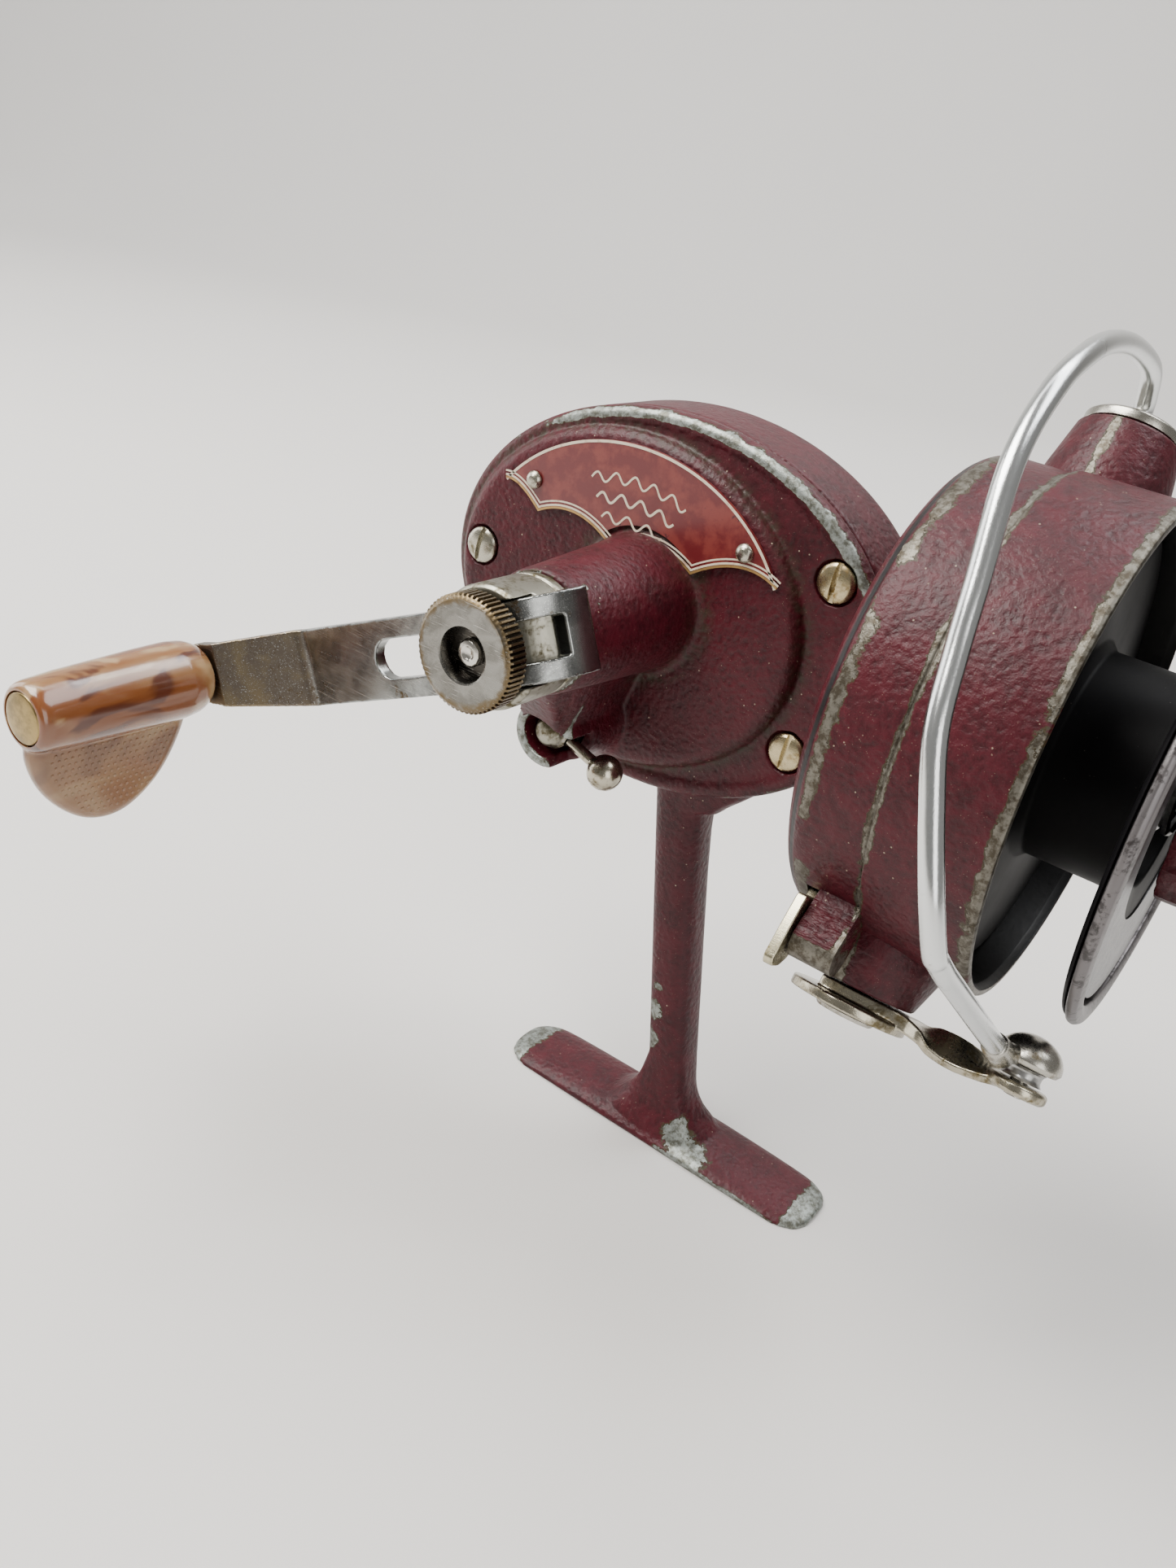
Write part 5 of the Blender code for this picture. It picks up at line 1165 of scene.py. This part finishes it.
def spool(black, lip_look, brushed):
    profile = [(SPOOL_BACK, 2.5), (SPOOL_BACK, REAR_FLANGE_R - 0.5), (SPOOL_BACK + 0.5, REAR_FLANGE_R),
               (SPOOL_BACK + 1.6, REAR_FLANGE_R), (SPOOL_BACK + 2.0, REAR_FLANGE_R - 0.5),
               (SPOOL_BACK + 2.6, ARBOR_R + 1.2), (SPOOL_BACK + 3.8, ARBOR_R), (FLANGE_BACK - 1.2, ARBOR_R),
               (FLANGE_BACK, ARBOR_R + 1.2), (FLANGE_BACK + 0.4, FLANGE_R - 1.2), (58.8, FLANGE_R - 0.6),
               (58.8, 29.4), (59.7, 28.8), (59.7, 17.0), (59.1, 12.9), (52.0, 12.9), (52.0, 2.5)]
    fit(turned("spool_body", profile, MAIN, FORWARD, 192, True, ease=0.35), "spool", black, "spool",
        slot="black_plastic")
    ring = [(59.1, 29.6), (59.1, FLANGE_R - 0.2), (59.5, FLANGE_R), (59.9, FLANGE_R), (60.5, FLANGE_R - 0.4),
            (60.8, FLANGE_R - 1.6), (60.6, FLANGE_R - 2.2), (60.2, 29.6)]
    fit(turned("flange_lip", ring, MAIN, FORWARD, 192, True, ease=0.2), "spool", lip_look, "spool_rim_ring",
        slot="bare_alloy")
    face = [(59.75, 17.2), (59.75, 28.6), (59.95, 28.6), (59.95, 17.2)]
    fit(turned("spool_face", face, MAIN, FORWARD, 128, True, ease=0.05), "spool", brushed, slot="bare_alloy")


def drag(paint, brass):
    flutes = 12
    ring = []
    for i in range(flutes * 12):
        t = math.tau * i / (flutes * 12)
        ring.append((DRAG_R - 0.8 * max(0.0, math.cos((t - math.pi / flutes) * flutes)) ** 0.8, t))
    stations = smooth_rows([(61.6, 0.96), (62.2, 1.0), (66.0, 0.99), (70.5, 0.97), (73.4, 0.86),
                            (75.0, 0.66)], 3)
    outer = [[(r * s * math.cos(t), r * s * math.sin(t), x) for r, t in ring] for x, s in stations]
    inner = [[(r * math.cos(t), r * math.sin(t), x) for _, t in ring]
             for x, r in ((75.0, 4.2), (74.8, 3.95), (64.6, 3.9), (64.6, 7.5), (61.6, 7.5))]
    fit(loft("drag_knob_fine", outer + inner, axes_at(MAIN, FORWARD), wrap=True), "drag", paint, "drag_knob",
        slot="maroon_paint")
    insert = [(64.9, 2.3), (64.9, 3.6), (75.4, 3.6), (75.4, 2.9), (77.0, 2.9), (77.0, 2.3)]
    fit(turned("drag_insert", insert, MAIN, FORWARD, 48, True, ease=0.15), "drag", brass, "drag_nut_insert",
        slot="brass")


# ---------------------------------------------------------------- stage

def no_wear(look):
    return look.band(look.x, -500.0, 1.0)


def area_light(name, place, target, size, power, colour=(1.0, 1.0, 1.0)):
    light = bpy.data.lights.new(name, "AREA")
    light.shape = "RECTANGLE"
    light.size, light.size_y = size
    light.energy = power
    light.color = colour
    lamp = bpy.data.objects.new(name, light)
    lamp.location = place
    away = (Vector(place) - Vector(target)).normalized()
    lamp.rotation_euler = away.to_track_quat("Z", "Y").to_euler()
    bpy.context.scene.collection.objects.link(lamp)


def stage():
    """Floor that sweeps up behind the reel, four soft lights on it, and one on the floor's far end."""
    away = Vector((-math.sin(VIEW_TURN), math.cos(VIEW_TURN), 0))
    across = Vector((math.cos(VIEW_TURN), math.sin(VIEW_TURN), 0))
    flat, sweep, wide, high = 900, 700, 3500, 3500
    curve = [math.radians(90 * i / 24) for i in range(1, 25)]
    profile = [(-2500, 0), (flat, 0)]
    profile += [(flat + sweep * math.sin(t), sweep * (1 - math.cos(t))) for t in curve]
    profile.append((flat + sweep, high))
    mesh = bmesh.new()
    rows = [[mesh.verts.new(away * d + across * s + Vector((0, 0, h))) for s in (-wide, wide)]
            for d, h in profile]
    for a, b in zip(rows, rows[1:]):
        mesh.faces.new((a[0], a[1], b[1], b[0]))
    bmesh.ops.recalc_face_normals(mesh, faces=mesh.faces)
    floor = piece_from("floor", mesh)
    floor.data.materials.append(pale_floor())
    for name, place, size, power, colour in LIGHTS:
        area_light(name, place, AIM_POINT, size, power, colour)
    above, beyond = away * 0.55 + Vector((0, 0, 1.2)), away * 1.5 + Vector((0, 0, 0.35))
    area_light("wash", above, beyond, WASH_SIZE, WASH_POWER)
    world = bpy.data.worlds.new("studio")
    world.use_nodes = True
    background = world.node_tree.nodes["Background"]
    background.inputs["Color"].default_value = WORLD_COLOUR
    background.inputs["Strength"].default_value = WORLD_STRENGTH
    bpy.context.scene.world = world


def camera():
    turn, rise, roll = VIEW_TURN, VIEW_RISE, VIEW_ROLL
    back = Vector((math.sin(turn) * math.cos(rise), -math.cos(turn) * math.cos(rise), math.sin(rise)))
    level = Vector((math.cos(turn), math.sin(turn), 0))
    lift = back.cross(level)
    right = level * math.cos(roll) + lift * math.sin(roll)
    up = lift * math.cos(roll) - level * math.sin(roll)
    eye = bpy.data.objects.new("camera", bpy.data.cameras.new("camera"))
    eye.data.lens = LENS
    eye.data.sensor_width = 36.0
    eye.data.clip_start = 0.01
    eye.matrix_world = Matrix.Translation(Vector(EYE)) @ Matrix((right, up, back)).transposed().to_4x4()
    bpy.context.scene.collection.objects.link(eye)
    bpy.context.scene.camera = eye


# ---------------------------------------------------------------- everything

def dress(looks):
    """Give every CAD node that stays its own procedural finish."""
    finish = {"steel": "steel", "brass": "brass", "nickel": "nickel", "fibre": "fibre",
              "black_plastic": "black", "maroon_paint": "plain_paint", "bare_alloy": "steel",
              "marbled_plastic": "marble", "red_enamel": "red"}
    for entry in frame["record"]["subparts"]:
        node = frame["nodes"][entry["node"]]
        for slot in node.material_slots:
            slot.material = looks[finish[entry["material_slot"]]]


def build():
    camera()
    stage()
    nickel = plated("nickel")
    looks = {
        "steel": plain_metal("bright_steel", (0.46, 0.46, 0.45), 0.32),
        "brass": plain_metal("machined_brass", (0.50, 0.36, 0.14), 0.34),
        "nickel": nickel,
        "fibre": printed("fibre_washer", (0.26, 0.19, 0.12), (0.12, 0.08, 0.05)),
        "black": black_gloss("black_gloss"),
        "plain_paint": castings("plain_paint", no_wear),
        "marble": marbled(),
        "red": enamel(),
    }
    dress(looks)
    cover_paint = castings("cover_paint", cover_wear, cover_darkened)
    casing(castings("casing_paint", casing_wear))
    cover(cover_paint)
    dull_nickel = plated("dull_nickel", (0.30, 0.29, 0.24), (0.085, 0.07, 0.038), rough=0.34, stains=0.9)
    bright_nickel = plated("bright_nickel", (0.60, 0.58, 0.53), rough=0.20, stains=0.35)
    screw_look = plated("screw_metal", (0.42, 0.40, 0.33), (0.13, 0.11, 0.06), rough=0.26, stains=0.7)
    screw_brass = plated("screw_brassy", (0.46, 0.39, 0.24), (0.20, 0.12, 0.035), rough=0.26, stains=0.9)
    cover_screw("rear", *COVER_SCREWS["rear"], screw_look, (0.12, 0, 1))
    cover_screw("front_top", *COVER_SCREWS["front_top"], screw_brass, (0.02, 0, 1))
    cover_screw("front_bottom", *COVER_SCREWS["front_bottom"], screw_brass, (0.05, 0, 1))
    gold = printed("plate_gold", (0.42, 0.26, 0.10), (0.20, 0.10, 0.05), 0.6)
    cream = printed("plate_cream", (0.62, 0.54, 0.42), (0.40, 0.26, 0.18))
    name_plate(looks["red"], gold, cream)
    rivets(screw_look)
    fork(dull_nickel)
    crank_arm(arm_metal())
    stud_and_nut(bright_nickel, nut_metal())
    grip(looks["marble"], plain_metal("cap_brass", (0.34, 0.25, 0.11), 0.32))
    anti_reverse(dull_nickel, plated("ball_nickel", (0.42, 0.39, 0.31), (0.10, 0.08, 0.04), rough=0.2,
                                     stains=0.8))
    rotor(castings("rotor_paint", rotor_wear, wrinkle=rotor_wrinkle, inside_shade=rotor_inside_shade,
                   metal=((0.060, 0.050, 0.036), (0.165, 0.155, 0.130))))
    trip(plated("edge_nickel", (0.52, 0.48, 0.34), (0.13, 0.10, 0.035), rough=0.26, stains=0.8, pits=1.0),
         nickel)
    wire_look = plated("wire_metal", (0.68, 0.70, 0.70), (0.34, 0.34, 0.32), rough=0.20, turn=(30, 0, 0),
                       grain=(3.0, 3.0, 0.10), stains=0.15, pits=0.1)
    leaf_look = plated("leaf_nickel", (0.40, 0.37, 0.29), (0.13, 0.105, 0.055), rough=0.24, stains=0.8)
    bail(nickel, leaf_look, wire_look, looks["steel"])
    spool(looks["black"], worn_lip(), plain_metal("face_alloy", (0.12, 0.12, 0.125), 0.36))
    drag(looks["plain_paint"], looks["brass"])


build()
